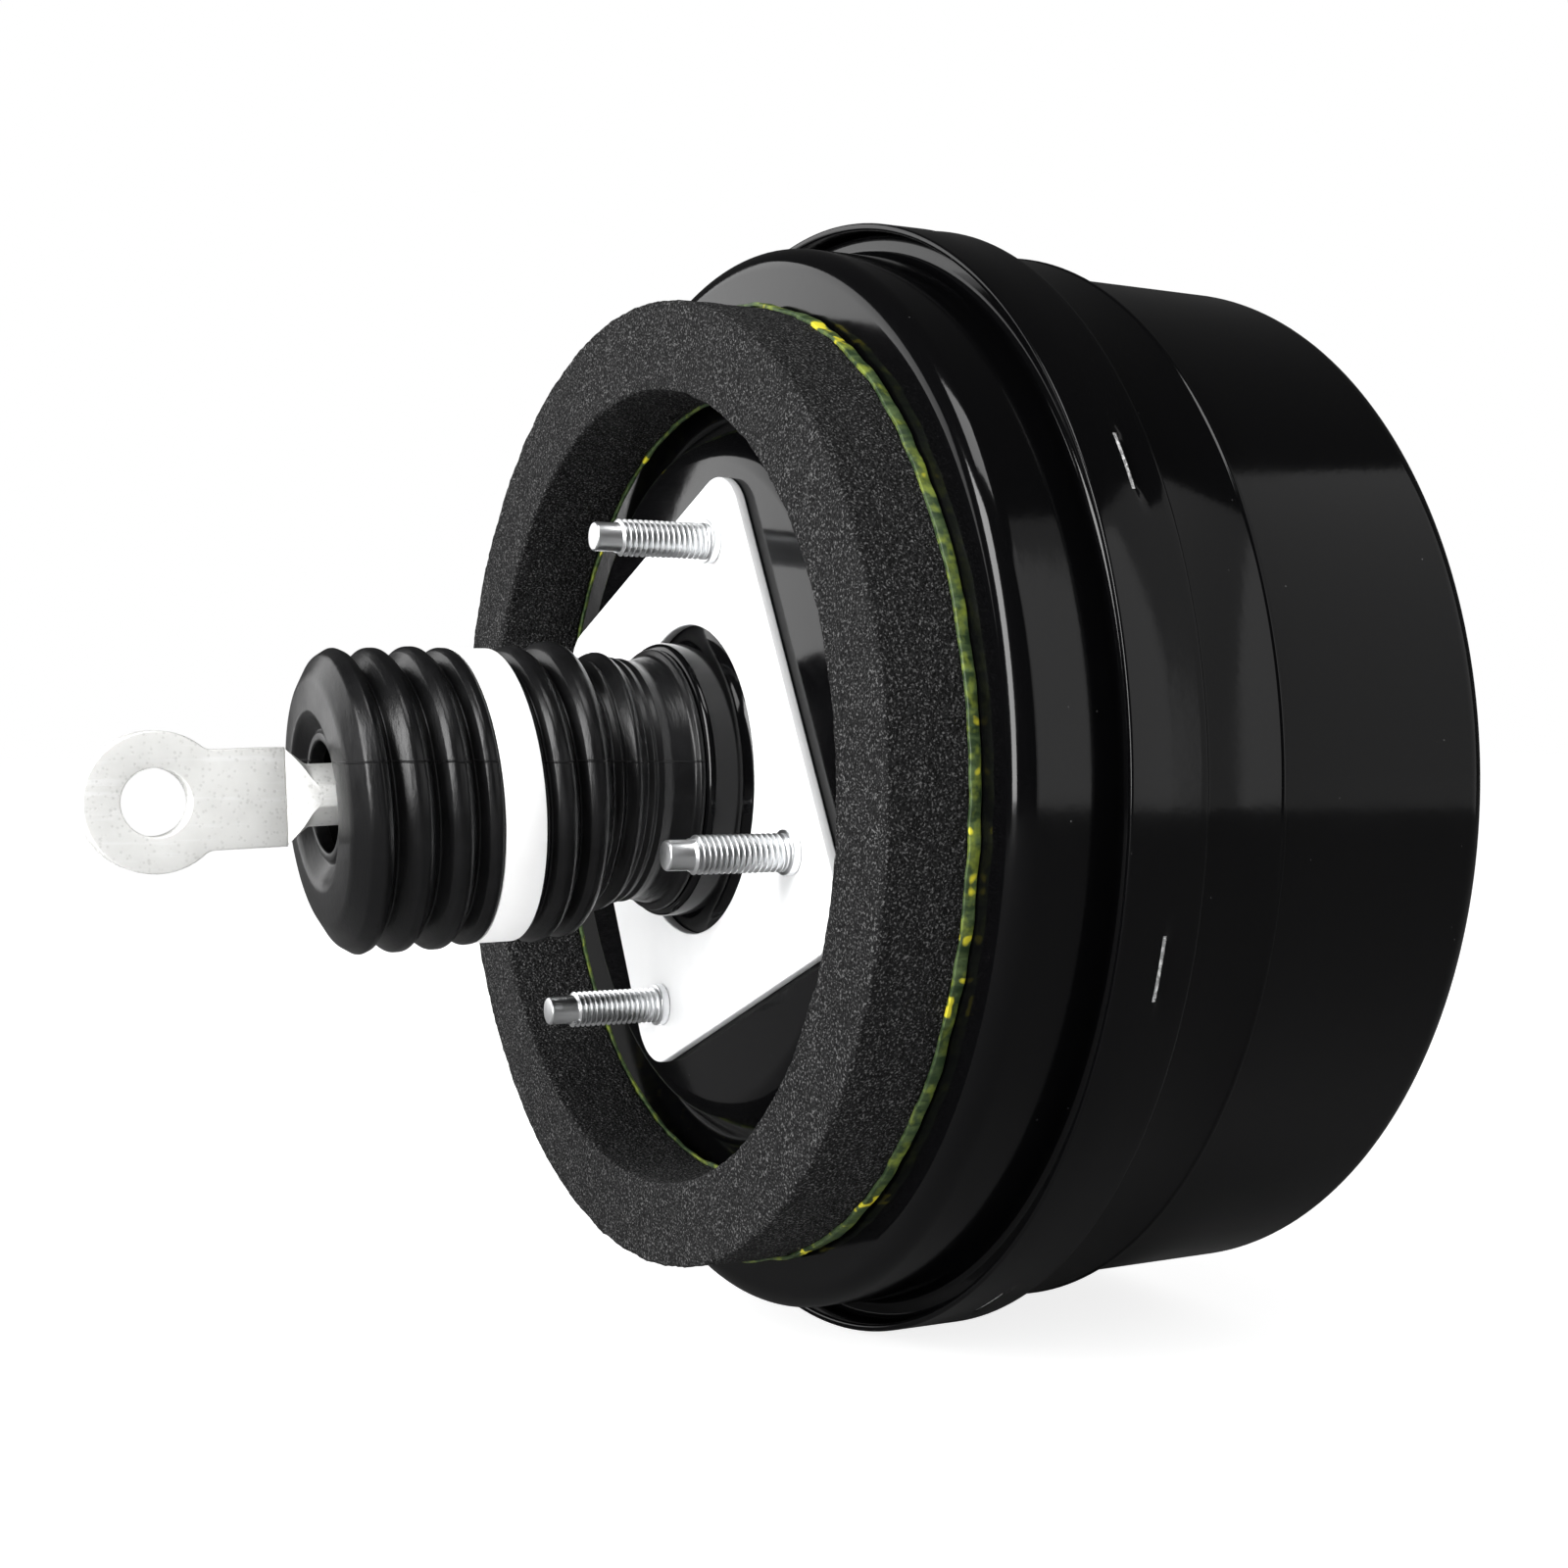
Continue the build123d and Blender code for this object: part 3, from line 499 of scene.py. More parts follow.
def draw_profile(bm, points, first=0.0, across=(0, 0)):
    """Closed wire of a profile in the plane at an angle round the axis, its corners rounded."""
    made = []
    for r, y, rounding in points:
        spot = (across[0] + r * cos(first), y, across[1] + r * sin(first))
        made.append(bm.verts.new(Vector(spot) * MM))
    for a, b in zip(made, made[1:] + made[:1]):
        bm.edges.new((a, b))
    count = len(points)
    for i, (r, y, rounding) in enumerate(points):
        if rounding:
            ins = Vector((r - points[i - 1][0], y - points[i - 1][1]))
            nxt = points[(i + 1) % count]
            out = Vector((nxt[0] - r, nxt[1] - y))
            turn = ins.angle(out)
            offset = min(rounding * tan(turn / 2), ins.length * 0.49, out.length * 0.49)
            bmesh.ops.bevel(
                bm,
                geom=[made[i]],
                offset=offset * MM,
                offset_type="OFFSET",
                segments=max(2, round(turn * rounding**0.5 * 4)),
                profile=0.5,
                affect="VERTICES",
                material=-1,
            )


def turn_round(bm, steps, across=(0, 0)):
    """Spin everything that is drawn once round the booster's axis, or one beside it."""
    bmesh.ops.spin(
        bm,
        geom=bm.verts[:] + bm.edges[:],
        cent=(across[0] * MM, 0, across[1] * MM),
        axis=(0, 1, 0),
        dvec=(0, 0, 0),
        angle=2 * pi,
        steps=steps,
        use_merge=True,
        use_duplicate=False,
    )


def turned(points, steps=256, first=0.0, across=(0, 0)):
    """Bmesh of a closed profile turned about the axis."""
    bm = bmesh.new()
    draw_profile(bm, points, first, across)
    turn_round(bm, steps, across)
    return bm


def ring(inner, outer, start, end, rounding=0.3):
    """Closed profile of a plain ring."""
    return [(inner, start, rounding), (outer, start, rounding), (outer, end, rounding), (inner, end, rounding)]


def dense(points, gap):
    """Closed profile with extra points along its straight sides."""
    out = []
    for a, b in zip(points, points[1:] + points[:1]):
        out.append(a)
        count = int(hypot(b[0] - a[0], b[1] - a[1]) / gap)
        for i in range(2, count - 1):
            out.append((a[0] + (b[0] - a[0]) * i / count, a[1] + (b[1] - a[1]) * i / count, 0))
    return out


def settle(bm, face, back):
    """Hang the foam ring between its face and back: the face tilts, and the far side has left its seat."""
    for v in bm.verts:
        x, y, z = v.co / MM
        share = min(max((back - y) / (back - face), 0), 1)
        lift = 7.0 * (max(FOAM_OUTER - x, 0) / (2 * FOAM_OUTER)) ** 1.5
        y += share * (0.4 + 0.045 * x) - (1 - share) * lift
        z -= 1.0 if hypot(x, z) > 96 else 1.5
        v.co = Vector((x, y, z)) * MM


def fold(top, place):
    """Round crest of one of the boot's folds."""
    return [
        (top - 1.1, place + 2.3, 1.0),
        (top, place + 1.0, 1.4),
        (top, place - 1.0, 1.4),
        (top - 1.1, place - 2.3, 1.0),
    ]


def smooth(value):
    """Smooth step from 0 to 1."""
    t = min(max(value, 0), 1)
    return t * t * (3 - 2 * t)


def sag(bm, droop):
    """Let the boot hang from its mouth on the neck and lean with its weight."""
    for v in bm.verts:
        x, y, z = v.co / MM
        r = hypot(x, z)
        held = smooth((-81.0 - y) / 2) if 19.8 < r < 22.5 else 1
        near = smooth((-21.0 - y) / 20)
        far = smooth((-45.0 - y) / 35)
        mouth = smooth((19.8 - r) / 5) * smooth((-76 - y) / 3)
        down = droop * (near + 0.33 * far) * (1 - mouth) + 3.0 * mouth
        v.co = Vector((x, y - z * 0.076 * near * held, z - down * held)) * MM


def off_tab(co):
    """Degrees between a point and the middle of the nearest tab."""
    angle = degrees(atan2(co.z, co.x)) - TAB_FIRST
    gap = 360 / TAB_COUNT
    return (angle + gap / 2) % gap - gap / 2


def press_tabs(bm, dip, cut):
    """Push the metal ahead of each cut inwards, less and less towards the tab's root."""
    for v in bm.verts:
        r = hypot(v.co.x, v.co.z)
        y = v.co.y / MM
        if r > RIM_CORE * MM and cut - 0.01 <= y < TAB_ROOT:
            off = abs(off_tab(v.co))
            weight = 1.0 if off < TAB_HALF - 0.1 else 0.7 if off < TAB_HALF + 0.1 else 0.0
            depth = dip * weight * ((TAB_ROOT - y) / (TAB_ROOT - cut)) ** 1.15
            v.co.x *= 1 - depth / r
            v.co.z *= 1 - depth / r


def in_slot(centre):
    """Whether a face's centre lies on the outside of the band, in the slot of a tab."""
    along = SLOT_START * MM < centre.y < SLOT_END * MM
    return along and hypot(centre.x, centre.z) > BAND_CORE * MM and abs(off_tab(centre)) < TAB_HALF


def open_slots(bm):
    """Sink the slot at each tab; on its floor shows the torn edge of the tab."""
    floor = [f for f in bm.faces if in_slot(f.calc_center_median())]
    sunk = bmesh.ops.extrude_face_region(bm, geom=floor)
    moved = [v for v in sunk["geom"] if isinstance(v, bmesh.types.BMVert)]
    for v in moved:
        share = 1 - SLOT_DEPTH * MM / hypot(v.co.x, v.co.z)
        v.co = Vector((v.co.x * share, v.co.y, v.co.z * share))
    bmesh.ops.delete(bm, geom=floor, context="FACES_ONLY")
    for f in sunk["geom"]:
        if isinstance(f, bmesh.types.BMFace):
            f.material_index = 1


class BOOSTER_OT_rear_shell(bpy.types.Operator):
    """Rear shell with its neck, hub face, gasket seat and rim flange."""

    bl_idname = "booster.rear_shell"
    bl_label = "Rear shell"

    def execute(self, context):
        """Build the piece."""
        points = [
            (25.7, start_of("rear_shell"), 0.3),
            (25.7, -8.2, 0.8),
            (30.4, -8.2, 1.6),
            (30.4, 2.6, 4.0),
            (74.0, 2.6, 6.0),
            (82.0, 12.0, 5.0),
            (118.0, 12.0, 5.0),
            (118.0, 36.0, 2.0),
            (123.2, 36.0, 2.4),
            (123.2, 40.0, 0),
            (123.2, FLANGE_CUT, 0),
            (123.2, 44.5, 0),
            (123.2, 47.2, 0),
        ]
        bm = turned(walled(points, SHEET), 240, radians(1.0))
        press_tabs(bm, context.scene.booster_size.tab_dip, FLANGE_CUT)
        finished("rear_shell_skin", bm, ["black_paint"], "housing", ["rear_shell"])
        return {"FINISHED"}


class BOOSTER_OT_front_shell(bpy.types.Operator):
    """Front shell: rim band with lanced tabs, joggle, front face and pilot pocket."""

    bl_idname = "booster.front_shell"
    bl_label = "Front shell"

    def execute(self, context):
        """Build the piece."""
        points = [
            (125.0, 31.8, 0.5),
            (125.0, SLOT_START, 0),
            (125.0, SLOT_END, 0),
            (125.0, BAND_CUT, 0),
            (125.0, 44.0, 0),
            (125.0, 45.5, 0),
            (125.0, 47.2, 0),
            (125.0, 49.2, 1.2),
            (120.8, 51.5, 2.0),
            (120.8, 69.4, 0.4),
            (121.1, 69.7, 0.2),
            (121.1, 70.5, 0.3),
            (118.1, 71.4, 0.8),
            (117.5, 126.0, 6.0),
            (64.0, 126.0, 3.0),
            (58.0, 131.0, 3.0),
            (19.05, 131.0, 1.0),
            (19.05, 115.0, 1.0),
            (8.5, 115.0, 0.2),
        ]
        bm = turned(walled(points, SHEET), 240, radians(1.0))
        press_tabs(bm, context.scene.booster_size.tab_dip * TAB_SHARE, BAND_CUT)
        open_slots(bm)
        slots = ["black_paint", "raw_edge"]
        finished("front_shell_skin", bm, slots, "housing", ["front_shell"])
        return {"FINISHED"}


def thread(bm, pitch, start, end):
    """Closed helical ridge of a screw thread about the booster's axis."""
    count = int((end - start) / pitch)
    corners = [
        (THREAD_ROOT - 0.35, 0.0),
        (THREAD_ROOT - 0.35, 1.0),
        (THREAD_ROOT, 0.94),
        (THREAD_CREST, 0.56),
        (THREAD_CREST, 0.44),
        (THREAD_ROOT, 0.06),
    ]
    made = [bm.verts.new(Vector((r, start + share * pitch, 0)) * MM) for r, share in corners]
    face = bm.faces.new(made)
    bmesh.ops.spin(
        bm,
        geom=[face] + face.verts[:] + face.edges[:],
        cent=(0, 0, 0),
        axis=(0, 1, 0),
        dvec=(0, pitch * MM / 32, 0),
        angle=2 * pi * count,
        steps=32 * count,
        use_merge=False,
        use_duplicate=False,
    )


class BOOSTER_OT_plate(bpy.types.Operator):
    """Mounting plate and its four threaded studs."""

    bl_idname = "booster.plate"
    bl_label = "Plate and studs"

    def execute(self, context):
        """Build the pieces."""
        bm = bmesh.new()
        bm.from_mesh(frame["nodes"]["mounting_plate"].data)
        bmesh.ops.remove_doubles(bm, verts=bm.verts[:], dist=2e-6)
        bmesh.ops.dissolve_limit(
            bm, angle_limit=radians(1), verts=bm.verts[:], edges=bm.edges[:], use_dissolve_boundaries=False
        )
        rims = [e for e in bm.edges if len(e.link_faces) == 2 and e.calc_face_angle() > radians(60)]
        bmesh.ops.bevel(bm, geom=rims, offset=0.0004, segments=3, profile=0.5, affect="EDGES", material=-1)
        finished("mounting_plate_skin", bm, ["zinc_plate"], "housing", ["mounting_plate"])
        tip = start_of("firewall_studs")
        head = end_of("firewall_studs")
        pitch = context.scene.booster_size.thread_pitch / MM
        stud = turned(
            [
                (0, tip, 0),
                (3.1, tip, 0.5),
                (3.1, tip + 4.8, 0),
                (THREAD_ROOT, tip + 5.2, 0),
                (THREAD_ROOT, -3.2, 0),
                (THREAD_CREST, -2.6, 0),
                (THREAD_CREST, -2.05, 0),
                (4.75, -2.05, 0.25),
                (4.75, -0.1, 0.2),
                (THREAD_CREST, -0.1, 0),
                (THREAD_CREST, head - 2.2, 0),
                (7.0, head - 2.2, 0.3),
                (7.0, head, 0.5),
                (0, head, 0),
            ],
            48,
        )
        thread(stud, pitch, tip + 5.0, -2.4)
        mesh = bpy.data.meshes.new("stud")
        stud.to_mesh(mesh)
        stud.free()
        bm = bmesh.new()
        for i in range(4):
            angle = radians(STUD_FIRST + 90 * i)
            before = len(bm.verts)
            bm.from_mesh(mesh)
            bm.verts.ensure_lookup_table()
            place = Vector((cos(angle), 0, sin(angle))) * STUD_CIRCLE * MM
            bmesh.ops.rotate(bm, verts=bm.verts[before:], cent=(0, 0, 0), matrix=Matrix.Rotation(angle * 3, 3, "Y"))
            bmesh.ops.translate(bm, verts=bm.verts[before:], vec=place)
        finished("stud_set", bm, ["zinc_bright"], "housing", ["firewall_studs"], 40)
        return {"FINISHED"}


class BOOSTER_OT_foam(bpy.types.Operator):
    """Foam ring and the printed film on its back."""

    bl_idname = "booster.foam"
    bl_label = "Foam ring"

    def execute(self, context):
        """Build the pieces."""
        edge = context.scene.booster_size.foam_edge / MM
        low, high = start_of("foam_gasket"), end_of("foam_gasket")
        outer = end_of("foam_gasket", 0)
        bm = turned(dense(ring(FOAM_BORE, outer, low, high, edge), 0.95), 640)
        bm.normal_update()
        for v in bm.verts:
            grain = noise.noise(v.co * 700) * 0.2 + noise.noise(v.co * 180) * 0.25
            v.co += v.normal * grain * MM
        settle(bm, low, high)
        piece = finished("foam_ring", bm, ["foam"], "housing", ["foam_gasket"], 60)
        back = end_of("gasket_liner")
        sheet = [
            (FILM_BORE, high + 0.05, 0.1),
            (outer + 0.1, high + 0.05, 0),
            (outer + 0.1, high - 1.1, 0.1),
            (outer + 0.9, high - 1.1, 0.3),
            (outer + 0.9, back, 0.4),
            (FILM_BORE, high + 0.7, 0.1),
        ]
        bm = turned(sheet, 480)
        for v in bm.verts:
            fray = 1 + noise.noise(v.co * 160) * 0.006
            v.co = Vector((v.co.x * fray, v.co.y, v.co.z * fray))
        settle(bm, low, high)
        finished("backing_film", bm, ["liner_film"], "housing", ["gasket_liner"])
        return {"FINISHED"}


class BOOSTER_OT_boot(bpy.types.Operator):
    """Rubber boot with its folds and nose, and the white band."""

    bl_idname = "booster.boot"
    bl_label = "Dust boot"

    def execute(self, context):
        """Build the pieces."""
        outside = [
            (29.0, -8.4, 0.2),
            (29.0, -9.4, 0.6),
            (27.4, -10.2, 1.2),
            (26.3, -14.8, 2.4),
            (26.9, -17.0, 0.5),
            (26.4, -18.2, 0.4),
            (27.2, -19.4, 0.5),
            (26.7, -20.6, 0.4),
            (28.8, -23.0, 1.4),
            (26.6, -25.4, 0.5),
            (27.3, -26.6, 0.4),
            (26.4, -28.2, 0.8),
            *fold(32.1, -32.9),
            (28.2, -36.6, 0.4),
            *fold(32.0, -40.0),
            (29.2, -43.3, 0.4),
            (30.7, -44.3, 0.5),
            (30.7, -53.7, 0.3),
            (31.6, -54.4, 0.6),
            (31.7, -56.0, 1.0),
            (31.0, -57.0, 0.8),
            (28.2, -58.4, 0.4),
            *fold(32.1, -62.3),
            (28.0, -66.5, 0.4),
            *fold(32.0, -70.6),
            (28.4, -75.4, 0.4),
            (31.4, -77.0, 0.6),
            (32.1, -78.6, 0.8),
            (30.5, -81.2, 2.0),
            (25.8, -84.0, 4.0),
            (18.0, -84.7, 3.0),
            (14.0, -81.6, 0.8),
            (13.3, -82.6, 0.4),
            (11.6, -82.6, 0.4),
            (11.6, -79.4, 0.4),
            (14.8, -79.4, 0.6),
            (18.2, -82.7, 0.8),
            (20.3, -82.7, 0.3),
            (20.3, -66.0, 0.3),
            (21.8, -66.0, 0.3),
            (21.8, -82.8, 0.4),
            (25.0, -82.7, 1.2),
            (30.0, -78.2, 0.8),
            (26.8, -75.2, 0.8),
            (30.0, -70.6, 0.8),
            (26.4, -66.5, 0.8),
            (30.0, -62.3, 0.8),
            (26.6, -58.4, 0.8),
            (29.6, -55.2, 0.5),
            (29.2, -44.3, 0.5),
            (27.7, -43.0, 0.8),
            (29.8, -39.8, 0.8),
            (27.0, -36.4, 0.8),
            (29.8, -33.0, 0.8),
            (25.2, -28.0, 0.8),
            (27.0, -23.4, 0.8),
            (25.8, -22.3, 0.2),
            (25.8, -8.4, 0.1),
        ]
        bm = turned(outside, 192)
        for v in bm.verts:
            y = v.co.y / MM
            if -31 < y < -22:
                crease = noise.noise(Vector((v.co.x * 60, v.co.y * 420, v.co.z * 60)))
                weight = smooth((y + 31) / 3) * smooth((-22 - y) / 2)
                v.co += Vector((v.co.x, 0, v.co.z)).normalized() * crease * weight * 0.9 * MM
        droop = context.scene.booster_size.boot_droop / MM
        sag(bm, droop)
        piece = finished("boot_skin", bm, ["boot_rubber"], None, ["dust_boot"], 50)
        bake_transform(piece)
        low, high = start_of("boot_band"), end_of("boot_band")
        bm = turned(ring(30.75, 31.5, low - 2.2, high - 0.6, 0.2), 192)
        sag(bm, droop)
        finished("white_band_skin", bm, ["band_white"], "boot_band", ["boot_band"])
        return {"FINISHED"}


def along_rod(s, up=0.0, x=0.0):
    """Point at a distance from the ball along the hanging rod, in metres."""
    d = Vector((0, -cos(DROOP), -sin(DROOP)))
    u = Vector((0, -sin(DROOP), cos(DROOP)))
    return (BALL + d * s + u * up + Vector((x, 0, 0))) * MM


class BOOSTER_OT_rod(bpy.types.Operator):
    """Forged pedal rod: ball, shank, sloping flats, arm and eye."""

    bl_idname = "booster.rod"
    bl_label = "Pedal rod"

    def execute(self, context):
        """Build the piece."""
        arm, flat, eye = 83.0, 76.4, 109.06
        half, thin, shank = 10.25, 3.2, 6.5
        bm = bmesh.new()
        points = [
            (0, 0, 0),
            (4.0, 0, 0),
            (4.0, -17.0, 0.4),
            (5.5, -19.0, 0.4),
            (5.5, -41.3, 0.1),
            (shank, -41.3, 0.3),
            (shank, -78.4, 2.0),
            (half, -arm, 0),
            (0, -arm, 0),
        ]
        draw_profile(bm, points)
        turn_round(bm, 64)
        bmesh.ops.recalc_face_normals(bm, faces=bm.faces[:])
        slope = (shank - thin) / (arm - flat)
        for side in (1, -1):
            bmesh.ops.bisect_plane(
                bm,
                geom=bm.verts[:] + bm.edges[:] + bm.faces[:],
                plane_co=(side * thin * MM, -arm * MM, 0),
                plane_no=(side, -slope, 0),
                clear_outer=True,
            )
            rim = [e for e in bm.edges if len(e.link_faces) == 1]
            bmesh.ops.holes_fill(bm, edges=rim, sides=0)
        bmesh.ops.create_uvsphere(bm, u_segments=48, v_segments=24, radius=6.0 * MM)
        turn = Matrix.Rotation(DROOP, 4, "X")
        bmesh.ops.transform(bm, matrix=Matrix.Translation(BALL * MM) @ turn, verts=bm.verts[:])
        flat_piece = bmesh.new()
        rim = bmesh.ops.create_circle(flat_piece, segments=144, radius=EYE_RADIUS * MM)["verts"]
        for v in rim:
            v.co = Vector((0, -v.co.x, v.co.y))
        gone = [v for v in rim if v.co.y > 0 and abs(v.co.z) < (half + 0.4) * MM]
        bmesh.ops.delete(flat_piece, geom=gone, context="VERTS")
        ends = sorted((v for v in flat_piece.verts if len(v.link_edges) == 1), key=lambda v: v.co.z)
        reach = (EYE_RADIUS**2 - half**2) ** 0.5
        low = [flat_piece.verts.new(Vector((0, y, -half)) * MM) for y in (reach, eye - arm)]
        top = [flat_piece.verts.new(Vector((0, y, half)) * MM) for y in (reach, eye - arm)]
        chain = [ends[0], low[0], low[1], top[1], top[0], ends[1]]
        for a, b in zip(chain, chain[1:]):
            flat_piece.edges.new((a, b))
        for v in (low[0], top[0]):
            bmesh.ops.bevel(
                flat_piece,
                geom=[v],
                offset=0.0011,
                offset_type="OFFSET",
                segments=6,
                profile=0.5,
                affect="VERTICES",
                material=-1,
            )
        bore = bmesh.ops.create_circle(flat_piece, segments=96, radius=EYE_BORE * MM)["verts"]
        for v in bore:
            v.co = Vector((0, -v.co.x, v.co.y))
        made = bmesh.ops.triangle_fill(flat_piece, use_beauty=True, edges=flat_piece.edges[:])
        faces = [f for f in made["geom"] if isinstance(f, bmesh.types.BMFace)]
        for v in flat_piece.verts:
            v.co.x = -thin * MM
        pushed = bmesh.ops.extrude_face_region(flat_piece, geom=faces, use_keep_orig=True)
        moved = [v for v in pushed["geom"] if isinstance(v, bmesh.types.BMVert)]
        bmesh.ops.translate(flat_piece, verts=moved, vec=(2 * thin * MM, 0, 0))
        bmesh.ops.recalc_face_normals(flat_piece, faces=flat_piece.faces[:])
        rims = [e for e in flat_piece.edges if len(e.link_faces) == 2 and e.calc_face_angle() > radians(70)]
        rims = [e for e in rims if abs(e.verts[0].co.x - e.verts[1].co.x) < 1e-6]
        bmesh.ops.bevel(
            flat_piece, geom=rims, offset=0.00045, segments=3, profile=0.5, affect="EDGES", material=-1
        )
        place = Matrix.Translation(along_rod(eye)) @ turn
        bmesh.ops.transform(flat_piece, matrix=place, verts=flat_piece.verts[:])
        mesh = bpy.data.meshes.new("arm")
        flat_piece.to_mesh(mesh)
        flat_piece.free()
        bm.from_mesh(mesh)
        finished("pedal_rod", bm, ["forged_steel"], "input_rod", ["input_rod"])
        return {"FINISHED"}


class BOOSTER_OT_front_fittings(bpy.types.Operator):
    """Studs of the master cylinder, hose nipple with its grommet, and the output rod's tip."""

    bl_idname = "booster.front_fittings"
    bl_label = "Front fittings"

    def execute(self, context):
        """Build the pieces."""
        low, high = start_of("master_cylinder_studs"), end_of("master_cylinder_studs")
        stud = turned(
            [
                (0, low, 0),
                (7.0, low, 0.5),
                (7.0, low + 3, 0.2),
                (THREAD_CREST, low + 3, 0),
                (THREAD_CREST, 132.5, 0),
                (THREAD_ROOT, 133.2, 0),
                (THREAD_ROOT, high - 0.4, 0.2),
                (0, high - 0.4, 0),
            ],
            48,
        )
        thread(stud, context.scene.booster_size.thread_pitch / MM, 132.8, high - 0.5)
        mesh = bpy.data.meshes.new("front_stud")
        stud.to_mesh(mesh)
        stud.free()
        bm = bmesh.new()
        for x in (-FRONT_STUD_OFFSET * MM, FRONT_STUD_OFFSET * MM):
            before = len(bm.verts)
            bm.from_mesh(mesh)
            bm.verts.ensure_lookup_table()
            bmesh.ops.translate(bm, verts=bm.verts[before:], vec=(x, 0, 0))
        nodes = ["master_cylinder_studs"]
        finished("front_stud_set", bm, ["zinc_bright"], "housing", nodes, 40)
        housing = [
            (4.2, 119.0, 0.2),
            (8.0, 119.0, 0.3),
            (8.0, 128.5, 0.1),
            (12.0, 128.5, 0.3),
            (12.0, 131.3, 0.5),
            (8.4, 131.3, 0.5),
            (8.4, 136.0, 0.8),
            (5.6, 137.5, 0.5),
            (5.6, 149.4, 0.1),
            (5.2, 150.0, 0.1),
            (3.8, 150.0, 0.3),
            (3.8, 134.0, 0.2),
            (6.6, 134.0, 0.2),
            (6.6, 120.5, 0.2),
            (4.2, 120.5, 0.2),
        ]
        bm = turned(housing, 72, 0.0, NIPPLE_PLACE)
        nodes = ["check_valve_housing"]
        finished("hose_nipple", bm, ["black_plastic"], "housing", nodes)
        grommet = [
            (8.1, 128.4, 0.3),
            (13.0, 128.4, 0.7),
            (13.0, 126.1, 0.3),
            (10.4, 126.1, 0.2),
            (10.4, 124.3, 0.2),
            (12.6, 124.3, 0.3),
            (11.0, 121.4, 0.5),
            (8.1, 121.4, 0.3),
        ]
        bm = turned(grommet, 72, 0.0, NIPPLE_PLACE)
        nodes = ["check_valve_grommet"]
        finished("nipple_grommet", bm, ["black_rubber"], "housing", nodes)
        tip = end_of("output_rod_adjuster")
        foot = start_of("output_rod_adjuster")
        adjuster = [
            (0, tip, 0),
            (0, foot, 0),
            (3.9, foot, 0.3),
            (3.9, 127.1, 0.1),
            (5.8, 127.1, 0.3),
            (5.8, tip - 3.0, 0.3),
            (5.0, tip - 1.2, 1.2),
            (2.4, tip - 0.3, 1.5),
        ]
        bm = turned(adjuster, 64)
        nodes = ["output_rod_adjuster"]
        finished("rod_tip", bm, ["zinc_bright"], "power_piston", nodes)
        bm = turned(ring(6.06, 18.9, 115.1, 121.0, 0.8), 96)
        finished("front_lip_seal", bm, ["black_rubber"], "housing", ["front_seal"])
        return {"FINISHED"}


class BOOSTER_OT_inner_pieces(bpy.types.Operator):
    """Finishes and smooth shading of the pieces inside the shells."""

    bl_idname = "booster.inner_pieces"
    bl_label = "Inner pieces"

    def execute(self, context):
        """Give every CAD node the finish of its material slot."""
        for entry in frame["record"]["subparts"]:
            node = frame["nodes"][entry["node"]]
            node.data.materials.clear()
            node.data.materials.append(FINISHES[entry["material_slot"]])
            node.data.shade_smooth()
            node.data.set_sharp_from_angle(angle=radians(30))
        return {"FINISHED"}


def lamp(name, place, aim, size, power):
    """Soft rectangular lamp."""
    data = bpy.data.lights.new(name, "AREA")
    data.shape = "RECTANGLE"
    data.size, data.size_y = size
    data.energy = power
    made = bpy.data.objects.new(name, data)
    made.location = place
    made.rotation_mode = "QUATERNION"
    made.rotation_quaternion = (Vector(aim) - Vector(place)).to_track_quat("-Z", "Y")
    bpy.context.scene.collection.objects.link(made)


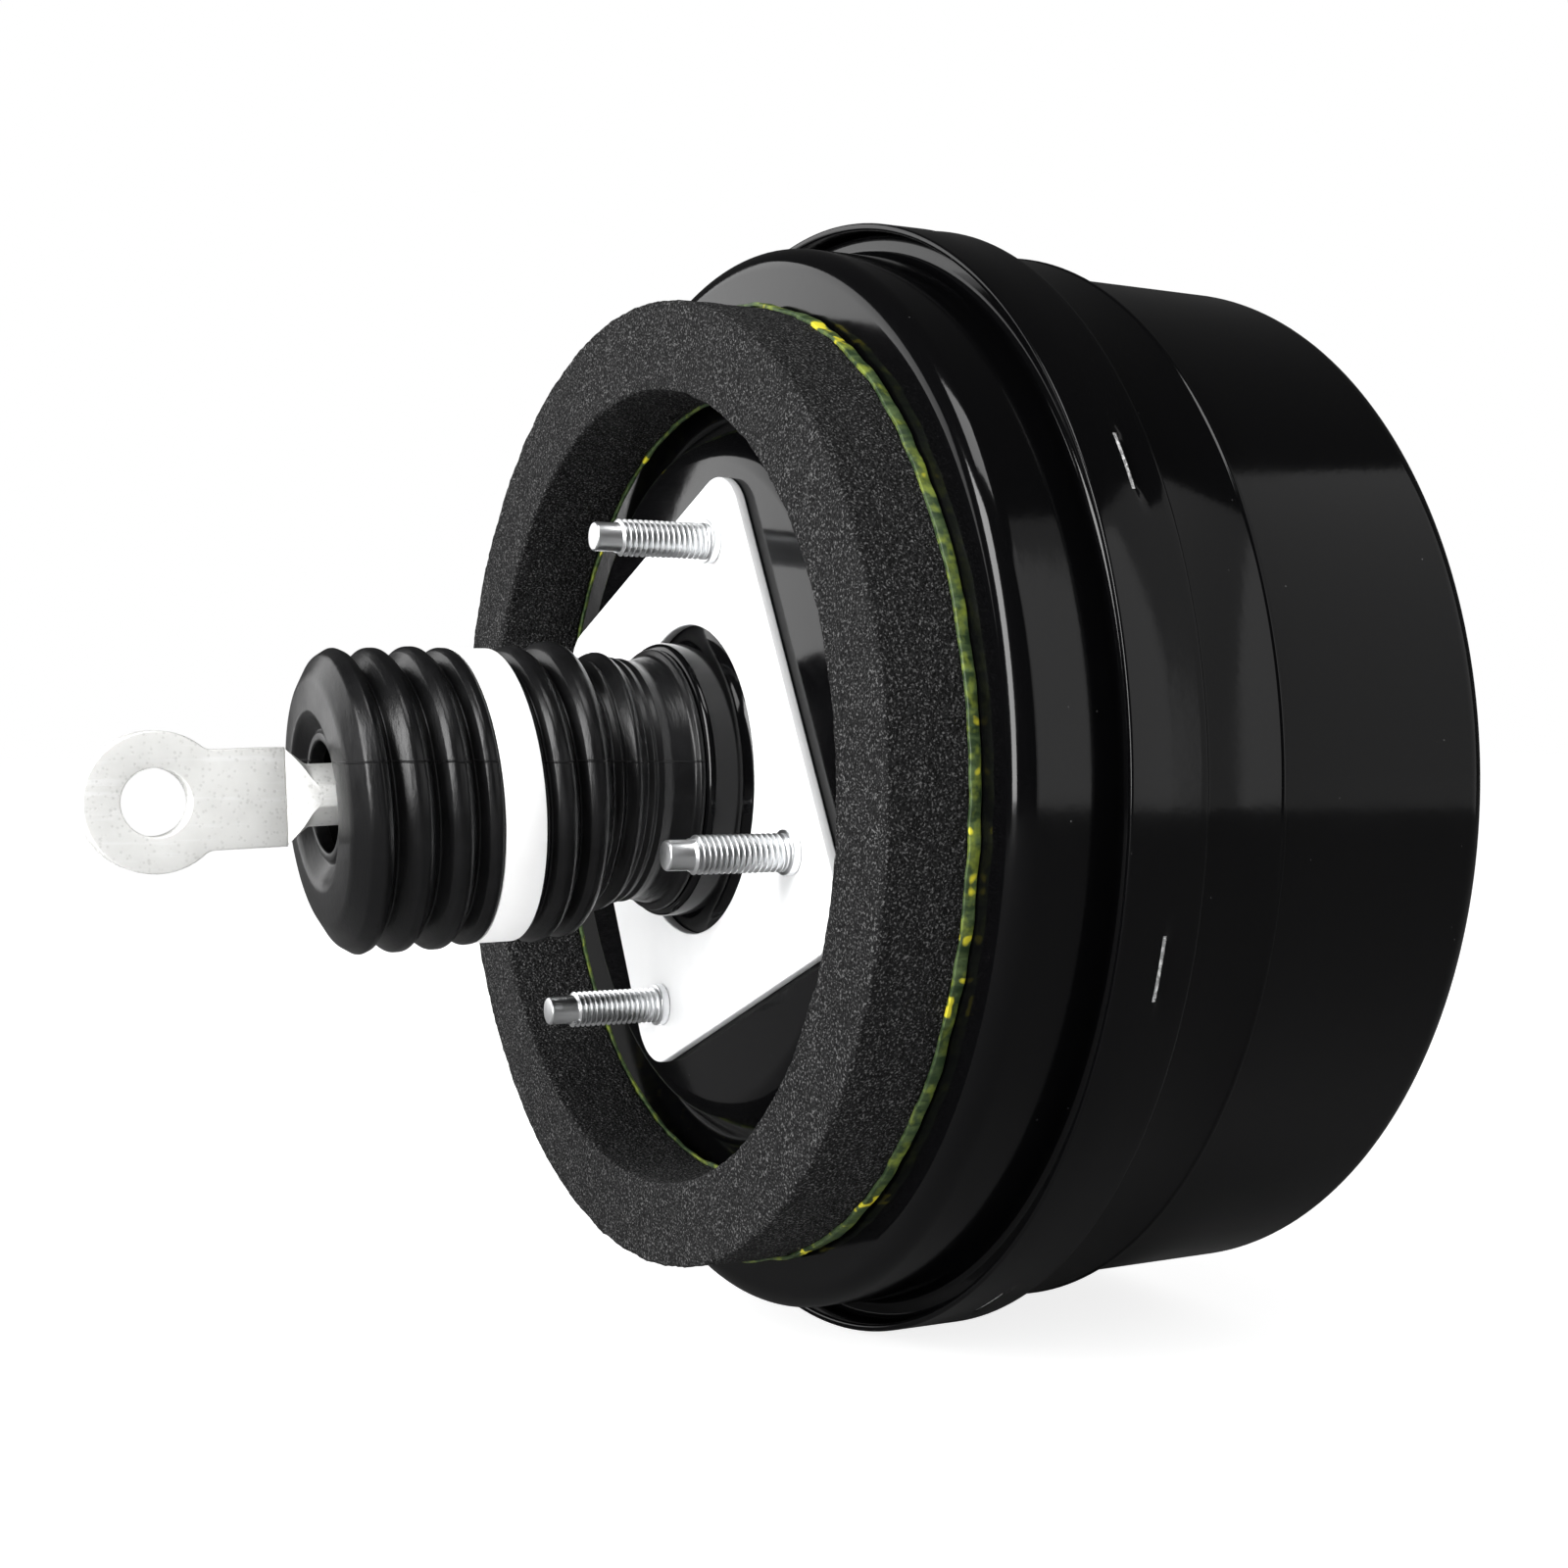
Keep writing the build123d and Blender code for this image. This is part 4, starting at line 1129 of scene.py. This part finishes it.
class BOOSTER_OT_stage(bpy.types.Operator):
    """Camera, lamps, white surroundings and pale floor."""

    bl_idname = "booster.stage"
    bl_label = "Stage"

    def execute(self, context):
        """Build the stage."""
        scene = context.scene
        camera = bpy.data.objects.new("camera", bpy.data.cameras.new("camera"))
        right = Vector((0.44746, 0.89430, 0))
        forward = Vector((-0.89411, 0.44737, -0.02050)).normalized()
        up = right.cross(forward)
        turn = Matrix((right, up, -forward)).transposed()
        camera.matrix_world = Matrix.Translation((0.44718, -0.19932, 0.00899)) @ turn.to_4x4()
        camera.data.lens = 50
        camera.data.sensor_width = 36
        camera.data.clip_start = 0.01
        scene.collection.objects.link(camera)
        scene.camera = camera
        scene.view_settings.view_transform = "Standard"
        world = bpy.data.worlds.new("studio")
        world.use_nodes = True
        scene.world = world
        nodes, links = world.node_tree.nodes, world.node_tree.links
        path = nodes.new("ShaderNodeLightPath")
        strength = nodes.new("ShaderNodeMapRange")
        strength.inputs["To Min"].default_value = 0.36
        strength.inputs["To Max"].default_value = 1.0
        links.new(path.outputs["Is Camera Ray"], strength.inputs["Value"])
        dark = nodes.new("ShaderNodeMath")
        dark.operation = "MULTIPLY_ADD"
        links.new(path.outputs["Is Glossy Ray"], dark.inputs[0])
        dark.inputs[1].default_value = -0.31
        links.new(strength.outputs["Result"], dark.inputs[2])
        back = nodes["Background"]
        back.inputs["Color"].default_value = (1, 1, 1, 1)
        links.new(dark.outputs[0], back.inputs["Strength"])
        lamp("side_wall", (0.95, 1.0, 0.45), (0.2, 0.05, 0.1), (1.5, 1.5), 4.4)
        lamp("side_panel", (1.37, 0.63, 0.4), (0.2, 0.0, 0.1), (0.62, 1.6), 3.0)
        lamp("left_softbox", (0.3, -1.1, 0.4), (0, 0, 0), (0.45, 1.0), 24)
        lamp("far_wall", (-1.0, -0.9, 0.2), (0, 0, 0), (1.2, 1.4), 12)
        lamp("top_softbox", (0.5, -0.3, 1.3), (0, 0, 0), (0.7, 0.5), 8)
        bpy.ops.mesh.primitive_plane_add(size=30, location=(0, 0, cad_box[0][2] - 0.0005))
        floor = context.object
        floor.name = "floor"
        f = Finish("pale_floor")
        path = f.add("ShaderNodeLightPath", {}, {})
        f.set(Base_Color=(0.85, 0.85, 0.85), Roughness=0.9, Specular_IOR_Level=0.0)
        glow = f.add("ShaderNodeEmission", {}, {"Color": (1, 1, 1), "Strength": 2.05})["Emission"]
        lit = f.add("ShaderNodeMixShader", {}, {0: path["Is Camera Ray"] * 0.4, 2: glow})
        f.tree.links.new(f.shader.outputs["BSDF"], lit.node.inputs[1])
        dim = f.add("ShaderNodeMixShader", {}, {0: path["Is Glossy Ray"] * 0.8, 1: lit["Shader"]})
        f.tree.links.new(dim.node.outputs["Shader"], f.surface.inputs["Surface"])
        floor.data.materials.append(f.material)
        return {"FINISHED"}


OPERATORS = (
    BOOSTER_OT_inner_pieces,
    BOOSTER_OT_rear_shell,
    BOOSTER_OT_front_shell,
    BOOSTER_OT_plate,
    BOOSTER_OT_foam,
    BOOSTER_OT_boot,
    BOOSTER_OT_rod,
    BOOSTER_OT_front_fittings,
    BOOSTER_OT_stage,
)


class BOOSTER_PT_panel(bpy.types.Panel):
    """Buttons and settings of the booster."""

    bl_label = "Brake booster"
    bl_idname = "BOOSTER_PT_panel"
    bl_space_type = "VIEW_3D"
    bl_region_type = "UI"
    bl_category = "Booster"

    def draw(self, context):
        """List settings and buttons."""
        for group in (context.scene.booster_size, context.scene.booster_colour):
            for key in group.__annotations__:
                self.layout.prop(group, key)
        for operator in OPERATORS:
            self.layout.operator(operator.bl_idname)


CLASSES = (Size, Colour, *OPERATORS, BOOSTER_PT_panel)


def register():
    """Make the classes and settings known."""
    for each in CLASSES:
        bpy.utils.register_class(each)
    bpy.types.Scene.booster_size = bpy.props.PointerProperty(type=Size)
    bpy.types.Scene.booster_colour = bpy.props.PointerProperty(type=Colour)


def unregister():
    """Take them away again."""
    del bpy.types.Scene.booster_size
    del bpy.types.Scene.booster_colour
    for each in reversed(CLASSES):
        bpy.utils.unregister_class(each)


def main():
    """Build every piece."""
    register()
    make_finishes(bpy.context.scene.booster_colour)
    for operator in OPERATORS:
        group, name = operator.bl_idname.split(".")
        getattr(getattr(bpy.ops, group), name)()


if __name__ == "__main__":
    main()
